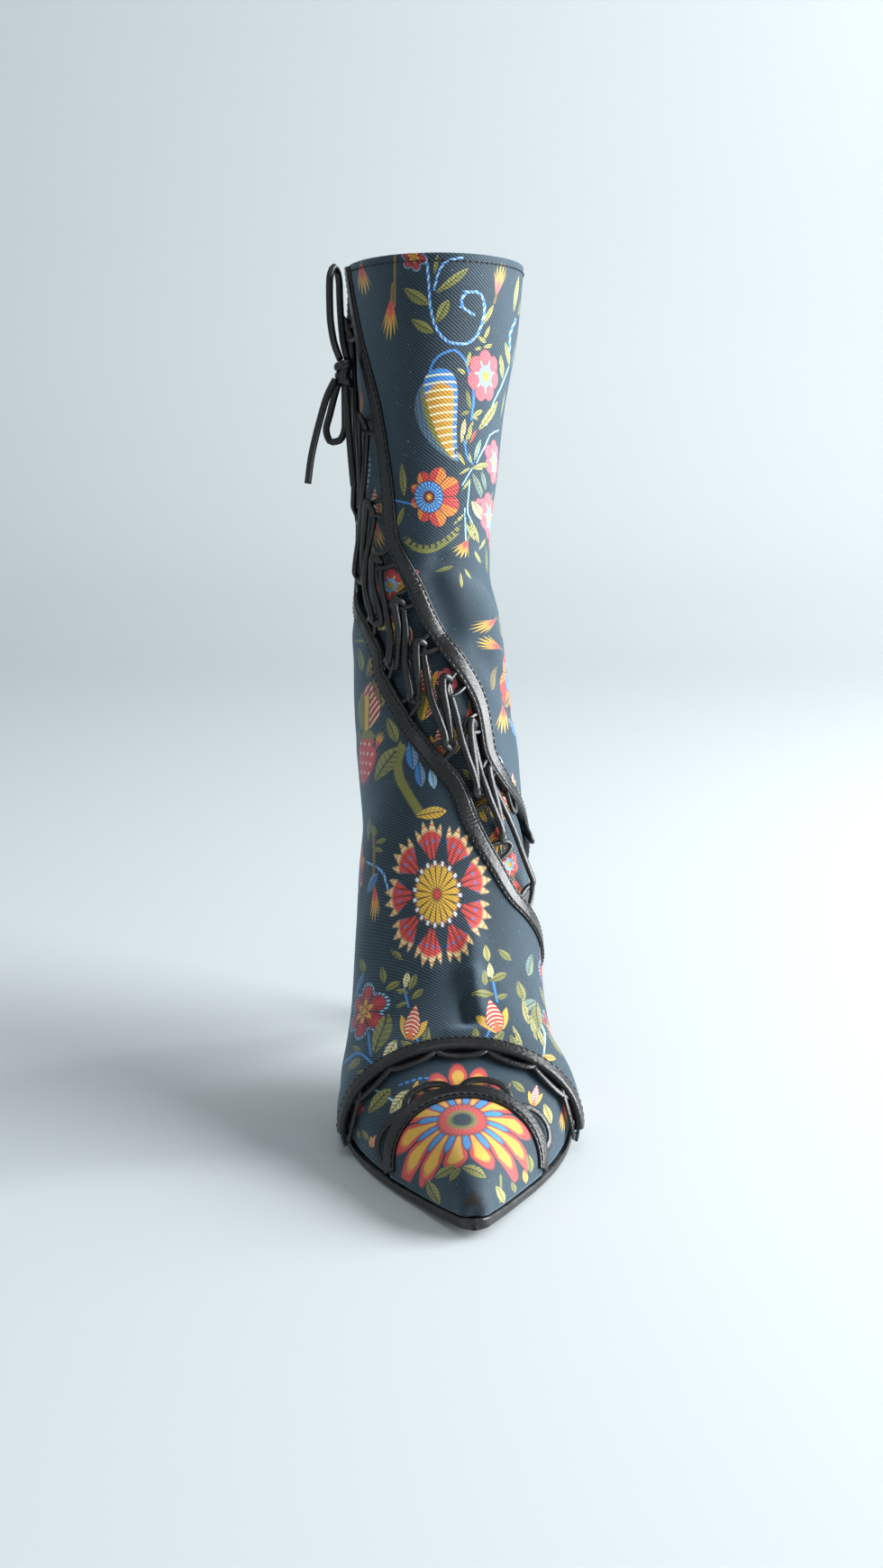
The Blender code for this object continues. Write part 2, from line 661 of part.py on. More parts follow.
def build():
    clear_scene()
    boot = bpy.data.collections.new("lace_up_boot")
    cutters = bpy.data.collections.new("cutters")
    bpy.context.scene.collection.children.link(boot)
    bpy.context.scene.collection.children.link(cutters)
    twill = plain_material("printed_twill", (0.03, 0.045, 0.06), 0.8)
    lining = plain_material("gusset_cloth", (0.04, 0.045, 0.05), 0.85)
    leather = plain_material("black_leather", (0.012, 0.012, 0.014), 0.4)
    sole_leather = plain_material("sole_leather", (0.02, 0.018, 0.017), 0.5)
    board = plain_material("insole_board", (0.16, 0.12, 0.09), 0.8)
    rubber = plain_material("heel_rubber", (0.015, 0.015, 0.015), 0.7)
    build_upper(twill, boot, cutters)
    build_gusset(lining, boot)
    build_sole(sole_leather, board, boot)
    build_heel(leather, rubber, boot)
    facing("facing_front", "front", FRONT_TURN, leather, boot, cutters)
    facing("facing_rear", "rear", -FRONT_TURN, leather, boot, cutters)
    cross_band("toe_band", TOE_BAND_AT, 1, TOE_LOOPS, leather, boot, cutters)
    cross_band("vamp_band", VAMP_BAND_AT, -1, VAMP_LOOPS, leather, boot, cutters)
    build_lace(leather, boot)


build()
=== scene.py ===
# %% [markdown]
# # A lace-up boot in printed twill
# The boot has a pointed toe, a high heel and a lacing gap that winds from the outer side of the
# collar, across the ankle, to the inner side of the foot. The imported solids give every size. They
# could be painted as they are, but cloth, leather and lace need finer surfaces, so this lesson
# works out new surfaces from the same table of sections and lays them where the solids are.

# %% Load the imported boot
import math
from collections import namedtuple

import bmesh
import bpy
import numpy as np
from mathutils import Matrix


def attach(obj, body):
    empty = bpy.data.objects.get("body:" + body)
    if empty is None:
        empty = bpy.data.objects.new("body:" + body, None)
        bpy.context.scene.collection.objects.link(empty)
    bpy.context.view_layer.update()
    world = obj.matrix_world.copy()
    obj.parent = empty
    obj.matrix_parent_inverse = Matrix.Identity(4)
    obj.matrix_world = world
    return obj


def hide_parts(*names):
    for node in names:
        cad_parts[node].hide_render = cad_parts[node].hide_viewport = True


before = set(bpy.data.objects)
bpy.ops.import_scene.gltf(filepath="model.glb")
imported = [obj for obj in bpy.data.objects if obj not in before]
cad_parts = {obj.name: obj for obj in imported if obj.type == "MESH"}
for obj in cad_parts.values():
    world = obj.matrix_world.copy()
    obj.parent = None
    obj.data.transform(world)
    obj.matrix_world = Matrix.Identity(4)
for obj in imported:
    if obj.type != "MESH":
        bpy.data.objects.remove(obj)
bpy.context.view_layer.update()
MM = 0.001
FULL_TURN = 2 * math.pi
print("solids:", ", ".join(sorted(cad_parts)))

# %% [markdown]
# ## The camera
# A camera could be set by eye. Here its place comes from solving where the collar, the ankle and
# the sole's outline fall in the picture: it stands 0.6 m in front of the boot, a little above the
# ankle, and looks down by about eleven degrees. The same numbers give a function that says where a
# place on the boot falls in the picture, which later lays out the print.

# %% Camera and its projection
PICTURE = (980, 1741)
FOCAL_PIXELS = 1900.0
SENSOR = 36.0
EYE = np.array([-34.92, -609.87, 238.6])
PITCH = math.radians(10.73)
YAW = math.radians(2.85)
RIGHT = np.array([math.cos(YAW), -math.sin(YAW), 0.0])
AHEAD = np.array(
    [math.sin(YAW) * math.cos(PITCH), math.cos(YAW) * math.cos(PITCH), -math.sin(PITCH)]
)
UP = np.cross(RIGHT, AHEAD)


def picture_place(points):
    """Where points fall in the picture: sideways and downward offset over depth, times the focal length."""
    seen = points - EYE
    depth = seen @ AHEAD
    across = PICTURE[0] / 2 + FOCAL_PIXELS * (seen @ RIGHT) / depth
    down = PICTURE[1] / 2 - FOCAL_PIXELS * (seen @ UP) / depth
    return np.stack([across, down], axis=-1)


camera_lens = bpy.data.cameras.new("camera")
camera_lens.sensor_width = SENSOR
camera_lens.lens = FOCAL_PIXELS * SENSOR / PICTURE[1]
camera = bpy.data.objects.new("camera", camera_lens)
camera.location = EYE * MM
camera.rotation_euler = (math.pi / 2 - PITCH, 0.0, -YAW)
bpy.context.scene.collection.objects.link(camera)
bpy.context.scene.camera = camera
print("lens", round(camera_lens.lens, 2), "mm")

# %% [markdown]
# ## The last
# A shoemaker shapes the upper over a last. Ours is a table of sections that fan from upright at the
# toe to level on the leg. A place on it is (u, t): u counts sections from the toe tip to the collar,
# and t runs round a section, from -1 at the outer sole edge or back seam, over the front, to 1. It
# could be a sculpted mesh, but a function lets cloth, bands and stitches all find the same surface.

# %% Sections and the surface they carry
COLUMNS = "top_y top_z edge_y edge_z half_width edge_half_width squareness centre_x".split()
SECTIONS = (
    (-112.0, 7.4, -112.0, 7.4, 0.0, 0.0, 1.0, 0.0),
    (-110.6, 12.2, -110.9, 7.2, 3.0, 2.9, 1.0, 0.0),
    (-104.5, 17.0, -106.0, 6.5, 6.3, 6.1, 1.0, 0.0),
    (-88.0, 22.0, -94.0, 5.2, 13.4, 13.0, 0.95, 0.0),
    (-61.0, 28.5, -74.5, 4.3, 25.2, 24.4, 0.95, 0.0),
    (-51.0, 32.5, -59.0, 4.0, 32.8, 31.8, 0.95, 0.0),
    (-41.5, 37.5, -43.5, 4.0, 38.2, 37.0, 1.0, 0.0),
    (-31.0, 46.5, -25.0, 4.0, 41.0, 40.2, 1.0, 0.0),
    (-19.0, 59.0, -7.0, 6.5, 38.6, 37.9, 1.0, -2.0),
    (-7.0, 75.0, 12.0, 19.0, 35.4, 33.5, 1.0, -1.7),
    (3.0, 93.0, 32.0, 38.0, 34.0, 29.5, 1.0, -1.3),
    (11.0, 113.0, 53.0, 61.0, 32.5, 27.0, 1.0, -1.2),
    (16.5, 130.0, 72.0, 81.5, 30.4, 26.5, 1.0, -1.5),
    (20.0, 145.0, 91.0, 94.5, 30.7, 25.5, 1.0, -2.4),
    (22.0, 155.0, 104.5, 98.5, 30.7, 18.5, 1.0, -3.3),
    (23.0, 162.0, 111.0, 100.0, 30.3, 9.5, 1.0, -3.9),
    (23.6, 168.0, 113.0, 101.5, 30.0, 0.0, 1.0, -4.5),
    (24.0, 175.0, 114.5, 116.0, 29.6, -9.0, 1.0, -5.3),
    (23.8, 182.0, 112.0, 140.0, 28.6, -9.0, 1.0, -6.2),
    (23.0, 190.0, 107.5, 165.0, 27.0, -9.0, 1.0, -7.2),
    (22.0, 200.0, 105.0, 188.0, 24.5, -9.0, 1.0, -8.3),
    (20.0, 212.0, 104.0, 208.0, 24.35, -9.0, 1.0, -7.9),
    (16.0, 232.0, 104.5, 231.0, 25.75, -9.0, 1.0, -6.85),
    (11.5, 255.0, 106.0, 255.0, 27.5, -9.0, 1.0, -6.3),
    (7.0, 281.0, 108.0, 281.0, 30.2, -9.0, 1.0, -4.9),
    (3.5, 308.0, 110.0, 308.0, 31.9, -9.0, 1.0, -4.4),
)
COLLAR = len(SECTIONS) - 1
FRAME_Y = 0.85  # the solids' origin lies this far behind the table's
TABLE = dict(zip(COLUMNS, np.array(SECTIONS).T))
TABLE["top_y"] = TABLE["top_y"] - FRAME_Y
TABLE["edge_y"] = TABLE["edge_y"] - FRAME_Y
EDGE_LEVEL = 0.13  # how much of the way to the sole edge the normal stops turning
SMALL_STEP = 2e-3  # of u or t, for slopes
TIP_CLEAR = 0.06  # the toe tip is a point, so slopes are read just behind it


def smooth(values, u):
    """A curve through values at whole u: cubic pieces, each slope the harmonic mean of two steps."""
    values = np.asarray(values, float)
    steps = np.diff(values)
    before, after = steps[:-1], steps[1:]
    same = before * after > 0
    middle = np.where(same, 2 * before * after / np.where(same, before + after, 1.0), 0.0)
    slopes = np.concatenate([steps[:1], middle, steps[-1:]])
    u = np.clip(np.asarray(u, float), 0, len(values) - 1)
    row = np.minimum(u.astype(int), len(values) - 2)
    f = u - row
    return (
        (2 * f**3 - 3 * f**2 + 1) * values[row]
        + (f**3 - 2 * f**2 + f) * slopes[row]
        + (3 * f**2 - 2 * f**3) * values[row + 1]
        + (f**3 - f**2) * slopes[row + 1]
    )


def last_point(u, t):
    """The place (u, t): an ellipse through the section's front and back, cut off at the sole edge."""
    u, t = np.broadcast_arrays(np.asarray(u, float), np.asarray(t, float))
    column = {name: smooth(values, u) for name, values in TABLE.items()}
    width = column["half_width"]
    edge = np.clip(column["edge_half_width"], 0, None)
    share = np.clip(edge / np.maximum(width, 1e-6), 0, 1) ** (1 / column["squareness"])
    reach = np.pi - np.arcsin(share)
    side = np.sin(t * reach)
    x = column["centre_x"] + width * np.sign(side) * np.abs(side) ** column["squareness"]
    rise = (np.cos(t * reach) - np.cos(reach)) / (1 - np.cos(reach))
    y = column["edge_y"] * (1 - rise) + column["top_y"] * rise
    z = column["edge_z"] * (1 - rise) + column["top_z"] * rise
    return np.stack([x, y, z], axis=-1)


def unit(vectors):
    """Vectors divided by their lengths."""
    return vectors / np.maximum(np.linalg.norm(vectors, axis=-1, keepdims=True), 1e-12)


def distance_along(line):
    """How far along a line each of its points lies: the running sum of its steps."""
    return np.concatenate([[0], np.cumsum(np.linalg.norm(np.diff(line, axis=0), axis=-1))])


def read_between(at, key, vectors):
    """Vectors read between their rows, at the places where key equals at."""
    return np.stack([np.interp(at, key, vectors[:, k]) for k in range(3)], axis=-1)


def tangents(u, t):
    """The surface's directions along u and along t, by a small difference."""
    u = np.clip(np.asarray(u, float), TIP_CLEAR, COLLAR - SMALL_STEP)
    along_u = last_point(u + SMALL_STEP, t) - last_point(u - SMALL_STEP, t)
    along_t = last_point(u, t + SMALL_STEP) - last_point(u, t - SMALL_STEP)
    along_u, along_t = along_u / (2 * SMALL_STEP), along_t / (2 * SMALL_STEP)
    return along_u, along_t


def outward(u, t):
    """The surface's normal: the cross product of its two directions."""
    along_u, along_t = tangents(u, t)
    return unit(np.cross(along_t, along_u))


def openness(u):
    """How wide the section is open at the sole edge, as a share of its greatest width."""
    width = np.maximum(smooth(TABLE["half_width"], u), 1e-6)
    return np.clip(smooth(TABLE["edge_half_width"], u) / width, 0, 1)


def beside(u, t, move):
    """The places that lie a vector move away on the surface, by inverting its two directions."""
    along_u, along_t = tangents(u, t)
    a = np.sum(along_u * along_u, axis=-1)
    b = np.sum(along_u * along_t, axis=-1)
    c = np.sum(along_t * along_t, axis=-1)
    p = np.sum(along_u * move, axis=-1)
    q = np.sum(along_t * move, axis=-1)
    area = a * c - b * b
    return np.clip(u + (c * p - b * q) / area, 0, COLLAR), t + (a * q - b * p) / area


print("collar", round(float(last_point(COLLAR, 0.0)[2])), "mm high")

# %% [markdown]
# ## Creases
# Worn cloth keeps folds where the foot bends. A cloth simulation could make folds, but not these
# ones, so each main fold is a soft trough or ridge along a short line on the boot: its depth fades
# with the square of the distance from the line. The bands and stitches use the same function, so
# they stay on the cloth.

# %% Folds at the ankle and the instep
Fold = namedtuple("Fold", "from_u from_t to_u to_t width depth")
FOLDS = (
    Fold(8.6, 0.11, 7.8, 0.10, 4.2, -1.8),
    Fold(7.9, 0.10, 7.0, 0.09, 3.2, -2.5),
    Fold(8.2, 0.02, 6.9, 0.02, 6.0, 1.4),
    Fold(7.2, 0.03, 6.86, 0.035, 2.8, 2.2),
    Fold(6.8, 0.04, 6.82, 0.07, 2.4, 0.8),
    Fold(6.4, -0.04, 6.48, 0.14, 2.2, -0.9),
    Fold(7.9, -0.20, 7.3, -0.34, 6.0, 1.0),
    Fold(8.2, 0.40, 7.3, 0.36, 6.0, 0.7),
    Fold(19.5, 0.02, 17.6, 0.06, 6.0, 3.4),
    Fold(18.3, 0.24, 17.2, 0.26, 9.0, -2.0),
    Fold(20.3, 0.05, 19.5, 0.36, 4.0, 1.5),
    Fold(16.4, 0.17, 15.6, 0.36, 5.0, 1.3),
    Fold(13.7, 0.46, 13.2, 0.52, 8.0, -0.8),
    Fold(14.9, 0.36, 14.5, 0.55, 5.0, 1.2),
    Fold(18.7, -0.58, 18.5, -0.46, 7.0, -0.8),
    Fold(19.0, 0.95, 19.0, 0.70, 6.0, 1.6),
    Fold(20.4, 0.98, 20.3, 0.65, 7.0, -1.2),
    Fold(19.0, -0.95, 19.0, -0.72, 6.0, 1.6),
    Fold(10.2, -0.55, 9.2, -0.30, 9.0, 1.2),
    Fold(24.0, 0.10, 21.5, 0.04, 11.0, 1.0),
    Fold(23.5, 0.42, 21.0, 0.40, 12.0, 0.9),
)


def fold_depth(u, t):
    """How far the folds push the cloth in: the sum of depth * exp(-(distance / width) squared)."""
    place = last_point(u, t)
    total = np.zeros(place.shape[:-1])
    for fold in FOLDS:
        start = last_point(fold.from_u, fold.from_t)
        line = last_point(fold.to_u, fold.to_t) - start
        share = np.clip(((place - start) @ line) / (line @ line), 0, 1)
        away = np.linalg.norm(place - start - share[..., None] * line, axis=-1)
        total = total + fold.depth * np.exp(-((away / fold.width) ** 2))
    return total


def on_boot(u, t, lift):
    """The place (u, t) moved out by lift millimetres along the surface's normal, folds taken off."""
    level = 1 - EDGE_LEVEL * openness(u)
    away = np.asarray(lift, float) - fold_depth(u, t)
    return last_point(u, t) + outward(u, t * level) * away[..., None]


print(len(FOLDS), "folds")

# %% [markdown]
# ## Where the overlays end
# The toe cap lies one millimetre proud of the vamp, and the leg lies over the vamp with a hem that
# flares away from it like a trouser leg. The lacing gap is a pair of lines on the last, station by
# station from the collar down.

# %% Overlays and the lacing gap
TOE_BAND = 4.0
VAMP_BAND = 6.0
HEM = 5.88
TOE_CAP_STEP = 1.0
TOE_CAP_START = 0.9
LEG_STEP = 1.2
FLARE_TOP = 1.9
FLARE_SIDE = 3.2
FLARE_SECTIONS = 1.6
LACING_GAP = np.array(
    [
        (25.0, -0.430, 25.0, -0.620), (24.0, -0.345, 24.0, -0.550), (23.0, -0.255, 23.0, -0.500),
        (22.0, -0.217, 22.0, -0.490), (21.0, -0.190, 20.7, -0.490), (20.3, -0.140, 19.5, -0.445),
        (19.2, -0.075, 18.3, -0.305), (17.6, -0.025, 16.8, -0.235), (16.0, 0.035, 14.8, -0.232),
        (14.5, 0.115, 13.2, -0.205), (13.2, 0.200, 12.2, -0.095), (12.3, 0.235, 11.4, 0.060),
        (11.9, 0.320, 10.75, 0.125), (11.7, 0.440, 10.2, 0.240), (11.65, 0.600, 9.8, 0.400),
        (11.5, 0.780, 9.85, 0.660), (11.3, 0.990, 10.1, 0.970), (11.2, 1.090, 10.3, 1.090),
    ]
)
GAP_LAST = len(LACING_GAP) - 1
GAP_TOP = COLLAR + 9.0  # the gap is open above the collar
GAP_OUTLINE = 160
FRONT, REAR = 0, 2  # first column of each edge


def cap_lift(u):
    """The toe cap's step, eased in over the tip."""
    start = np.clip(u / TOE_CAP_START, 0, 1)
    return TOE_CAP_STEP * start * start * (3 - 2 * start)


def leg_lift(u, t):
    """The leg's step plus its flare, which is widest at the hem and eases out behind it."""
    back = np.clip((u - VAMP_BAND) / FLARE_SECTIONS, 0, 1)
    flare = (FLARE_TOP + (FLARE_SIDE - FLARE_TOP) * np.abs(t) ** 3) * (1 - back) ** 2 * (1 + 2 * back)
    return LEG_STEP + flare


def gap_edge(side, stations):
    """One edge of the gap, front or rear: u and t read smoothly at the stations."""
    return smooth(LACING_GAP[:, side], stations), smooth(LACING_GAP[:, side + 1], stations)


def across_gap(stations, share):
    """Places across the gap: share 0 lies on the rear edge and 1 on the front edge."""
    front_u, front_t = gap_edge(FRONT, stations)
    rear_u, rear_t = gap_edge(REAR, stations)
    return rear_u + (front_u - rear_u) * share, rear_t + (front_t - rear_t) * share


def in_gap(u, t):
    """True inside the gap: an upward ray from (u, t) crosses the gap's outline an odd number of times."""
    stations = np.linspace(0, GAP_LAST, GAP_OUTLINE)
    front, rear = np.stack(gap_edge(FRONT, stations)), np.stack(gap_edge(REAR, stations))
    above = np.array([[GAP_TOP, GAP_TOP], [front[1, 0], rear[1, 0]]])
    outline = np.concatenate([above[:, :1], front, rear[:, ::-1], above[:, 1:]], axis=1)
    after = np.roll(outline, -1, axis=1)
    u, t = u[..., None], t[..., None]
    spans = (outline[1] > t) != (after[1] > t)
    slope = (after[0] - outline[0]) / np.where(after[1] == outline[1], 1e-9, after[1] - outline[1])
    hit = u < outline[0] + (t - outline[1]) * slope
    return (np.sum(spans & hit, axis=-1) % 2) == 1


middle = across_gap(np.arange(GAP_LAST), 0.5)
print("gap middle tested inside:", int(in_gap(*middle).sum()), "of", GAP_LAST)

# %% [markdown]
# ## Putting arrays into meshes
# Every new piece is a grid of points, or a profile carried along a path, so two helpers are enough:
# one makes a mesh from points and faces, the other carries a profile. All the places stay in the
# mesh, and the object sits at the origin, so textures on object coordinates don't slide.

# %% Mesh helpers
BODY = "root"
WELD_DISTANCE = 2e-6


def grid_faces(rows, columns, closed=False):
    """Quads of a grid: each joins a point, the next in its row, and the two above them."""
    last = columns if closed else columns - 1
    i, j = np.meshgrid(np.arange(rows - 1), np.arange(last), indexing="ij")
    right = (j + 1) % columns
    low, high = i * columns, (i + 1) * columns
    return np.stack([low + j, low + right, high + right, high + j]).reshape(4, -1).T


def make_piece(name, points, faces, material, nodes=()):
    """A mesh object in the boot's frame that rides on its body and stands for CAD nodes."""
    mesh = bpy.data.meshes.new(name)
    mesh.from_pydata((np.asarray(points).reshape(-1, 3) * MM).tolist(), [], [tuple(f) for f in faces])
    mesh.materials.append(material)
    mesh.shade_smooth()
    piece = bpy.data.objects.new(name, mesh)
    bpy.context.scene.collection.objects.link(piece)
    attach(piece, BODY)
    if nodes:
        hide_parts(*nodes)
    return piece


def weld(piece, closed=True):
    """Merge points that fall together; turn a closed piece's faces outwards, rid a sheet of loose points."""
    work = bmesh.new()
    work.from_mesh(piece.data)
    bmesh.ops.remove_doubles(work, verts=work.verts, dist=WELD_DISTANCE)
    if closed:
        bmesh.ops.recalc_face_normals(work, faces=work.faces)
    else:
        loose = [point for point in work.verts if not point.link_faces]
        bmesh.ops.delete(work, geom=loose, context="VERTS")
    work.to_mesh(piece.data)
    work.free()


def add_wall(piece, thickness):
    """Give an open sheet its thickness, inwards from the surface that shows."""
    wall = piece.modifiers.new("wall", "SOLIDIFY")
    wall.thickness = thickness * MM
    wall.offset = -1.0


def carry(paths, ups, profile):
    """Carry a profile along paths: path + side * profile x + up * profile y, up squared to the path."""
    along = unit(np.gradient(paths, axis=-2))
    side = unit(np.cross(along, ups))
    rise = np.cross(side, along)
    return (
        paths[..., None, :]
        + side[..., None, :] * profile[..., 0:1]
        + rise[..., None, :] * profile[..., 1:2]
    )


def tube_faces(count, length, sides):
    """Quads round each of count tubes, and a face on each of their ends."""
    quads = grid_faces(length, sides, closed=True)
    starts = np.arange(count) * length * sides
    faces = (starts[:, None, None] + quads).reshape(-1, 4).tolist()
    ring = np.arange(sides)
    faces += (starts[:, None] + ring[::-1]).tolist()
    faces += (starts[:, None] + (length - 1) * sides + ring).tolist()
    return faces


def make_tubes(name, points, material, nodes=(), welded=True):
    """A piece of tubes, from points ordered by tube, then along it, then round it."""
    count = len(points) if points.ndim == 4 else 1
    piece = make_piece(name, points, tube_faces(count, *points.shape[-3:-1]), material, nodes)
    if welded:
        weld(piece)
    return piece


def oval(sides, half_x, half_y):
    """Points round an ellipse: cosine times its half width, sine times its half height."""
    angle = np.linspace(0, FULL_TURN, sides, endpoint=False)
    return np.stack([half_x * np.cos(angle), half_y * np.sin(angle)], axis=-1)


print("rides on", BODY)

# %% [markdown]
# ## Colours and a way to write node trees
# Colours are given as the hex codes a painter would pick and turned into linear light. The print
# needs many small formulas as shader nodes. Placing each node by hand is slow to read, so a small
# class lets a formula be written as arithmetic, and every operation adds its node.

# %% Colour and node helpers
def hue(code):
    """A hex colour as linear light: each channel c becomes ((c + 0.055) / 1.055) to the power 2.4."""
    channel = np.array([int(code[i : i + 2], 16) for i in (0, 2, 4)]) / 255.0
    linear = ((channel + 0.055) / 1.055) ** 2.4
    return (*linear.tolist(), 1.0)


def feed(tree, place, value):
    """Set an input to a value, or link a wire to it."""
    if isinstance(value, Wire):
        tree.links.new(value.socket, place)
    else:
        place.default_value = value


class Wire:
    """A value in a node tree that can be reckoned with like a number."""

    def __init__(self, tree, socket):
        self.tree = tree
        self.socket = socket

    def math(self, operation, *others, clamp=False):
        """One math node that works on this value and the others."""
        node = self.tree.nodes.new("ShaderNodeMath")
        node.operation = operation
        node.use_clamp = clamp
        for place, value in zip(node.inputs, (self, *others)):
            feed(self.tree, place, value)
        return Wire(self.tree, node.outputs[0])

    def __add__(self, other):
        return self.math("ADD", other)

    def __sub__(self, other):
        return self.math("SUBTRACT", other)

    def __mul__(self, other):
        return self.math("MULTIPLY", other)

    def __truediv__(self, other):
        return self.math("DIVIDE", other)

    def __abs__(self):
        return self.math("ABSOLUTE")

    def root(self):
        """The square root, with 0 for values below 0."""
        return self.math("MAXIMUM", 0.0).math("SQRT")

    def under(self, edge, soft=0.03):
        """1 below the edge and 0 above it, with a step 2 * soft wide."""
        return (self - edge).math("MULTIPLY_ADD", -0.5 / soft, 0.5, clamp=True)

    def over(self, edge, soft=0.03):
        """1 above the edge and 0 below it."""
        return (self - edge).math("MULTIPLY_ADD", 0.5 / soft, 0.5, clamp=True)

    def near(self, count, offset=0.5):
        """How far the value is from the middle of its repeat, 0 to 0.5, with count repeats per unit."""
        return abs(self.math("MULTIPLY_ADD", count, offset + 0.5).math("FRACT") - 0.5)


def paint(base, mask, colour):
    """A colour laid over a base by a mask."""
    tree = mask.tree
    node = tree.nodes.new("ShaderNodeMix")
    node.data_type = "RGBA"
    feed(tree, node.inputs[0], mask)
    feed(tree, node.inputs[6], base)
    feed(tree, node.inputs[7], colour)
    return Wire(tree, node.outputs[2])


def layered(base, *layers):
    """Colours laid over a base one after the other, each by its own mask."""
    for mask, colour in layers:
        base = paint(base, mask, colour)
    return base


def new_group(name, takes, gives):
    """A node group with named inputs and outputs; returns the group, its input wires and its output node."""
    tree = bpy.data.node_groups.new(name, "ShaderNodeTree")
    for label, kind in takes:
        tree.interface.new_socket(label, in_out="INPUT", socket_type=kind)
    for label, kind in gives:
        tree.interface.new_socket(label, in_out="OUTPUT", socket_type=kind)
    entry = tree.nodes.new("NodeGroupInput")
    wires = [Wire(tree, entry.outputs[label]) for label, _ in takes]
    return tree, wires, tree.nodes.new("NodeGroupOutput")


def texture(tree, scale, detail=None, stretch=(1.0, 1.0, 1.0)):
    """Noise with some detail, or cells without, on object coordinates, in repeats per metre."""
    kind, output = ("ShaderNodeTexVoronoi", "Distance") if detail is None else ("ShaderNodeTexNoise", "Fac")
    coordinate = tree.nodes.new("ShaderNodeTexCoord")
    mapping = tree.nodes.new("ShaderNodeMapping")
    mapping.inputs["Scale"].default_value = stretch
    node = tree.nodes.new(kind)
    node.inputs["Scale"].default_value = scale
    if detail is not None:
        node.inputs["Detail"].default_value = detail
    tree.links.new(coordinate.outputs["Object"], mapping.inputs["Vector"])
    tree.links.new(mapping.outputs["Vector"], node.inputs["Vector"])
    return Wire(tree, node.outputs[output])


FLOAT, COLOUR = "NodeSocketFloat", "NodeSocketColor"
print("coral in linear light:", [round(v, 3) for v in hue("d8504a")[:3]])

# %% [markdown]
# ## Leather
# The bands, loops, lace, sole and heel are black leather of one tannage, so they share a node group.
# It gives pebbled grain as a height, and lets the gloss and the tone wander, as handled leather
# does. A photograph of leather would show one place only; noise on object coordinates goes round.

# %% Leather group and materials
leather_group, _, leather_out = new_group(
    "worn leather", (), (("Color", COLOUR), ("Roughness", FLOAT), ("Height", FLOAT))
)
GRAIN_DEPTH = 0.25
cells = texture(leather_group, 1150.0)
grain = texture(leather_group, 2600.0, 3.0)
wander = texture(leather_group, 85.0, 4.0)
wrinkle = texture(leather_group, 520.0, 3.0, (1.0, 1.0, 2.4))
tone = layered(
    hue("030405"),
    (wander.over(0.55, 0.22), hue("0c0d0f")),
    (grain.over(0.7, 0.05) * 0.2, hue("2b2f34")),
)
feed(leather_group, leather_out.inputs["Color"], tone)
feed(leather_group, leather_out.inputs["Roughness"], wander * 0.3 + grain * 0.16 + 0.1)
height = cells * 0.35 + grain * 0.3 + wrinkle.over(0.5, 0.2) * 0.9
feed(leather_group, leather_out.inputs["Height"], height)


def new_material(name):
    """A new material, its node tree and its main shader."""
    material = bpy.data.materials.new(name)
    material.use_nodes = True
    tree = material.node_tree
    return material, tree, tree.nodes["Principled BSDF"]


def add_bump(tree, shader, height, strength, distance):
    """Bump from a height; distance is the height's full range in millimetres."""
    bump = tree.nodes.new("ShaderNodeBump")
    bump.inputs["Strength"].default_value = strength
    bump.inputs["Distance"].default_value = distance * MM
    feed(tree, bump.inputs["Height"], height)
    tree.links.new(bump.outputs["Normal"], shader.inputs["Normal"])


def leather_material(name, strength, coat, dust=None):
    """Black leather with grain of some strength; dust is a colour and a share that lighten it in patches."""
    material, tree, shader = new_material(name)
    group = tree.nodes.new("ShaderNodeGroup")
    group.node_tree = leather_group
    colour = Wire(tree, group.outputs["Color"])
    rough = Wire(tree, group.outputs["Roughness"])
    if dust:
        patch = texture(tree, 240.0, 5.0).over(0.56, 0.12) * dust[1]
        colour = paint(colour, patch, hue(dust[0]))
        rough = rough + patch * 0.6
    feed(tree, shader.inputs["Base Color"], colour)
    feed(tree, shader.inputs["Roughness"], rough)
    shader.inputs["Specular IOR Level"].default_value = 0.5
    shader.inputs["Coat Weight"].default_value = coat
    shader.inputs["Coat Roughness"].default_value = 0.28
    add_bump(tree, shader, Wire(tree, group.outputs["Height"]), strength, GRAIN_DEPTH)
    return material


def plain_material(name, code, roughness):
    """A material of one colour and one roughness."""
    material, _, shader = new_material(name)
    shader.inputs["Base Color"].default_value = hue(code)
    shader.inputs["Roughness"].default_value = roughness
    return material


leather = leather_material("black leather", 0.5, 0.15)
cord_leather = leather_material("lace leather", 0.42, 0.15)
sole_leather = leather_material("sole leather", 0.25, 0.1, ("5f5e5c", 0.16))
heel_leather = leather_material("heel leather", 0.3, 0.2)
thread = plain_material("thread", "0c0d0f", 0.7)
insole_board = plain_material("insole board", "8d7a63", 0.8)
heel_rubber = plain_material("heel rubber", "141414", 0.7)
print("leather materials made")
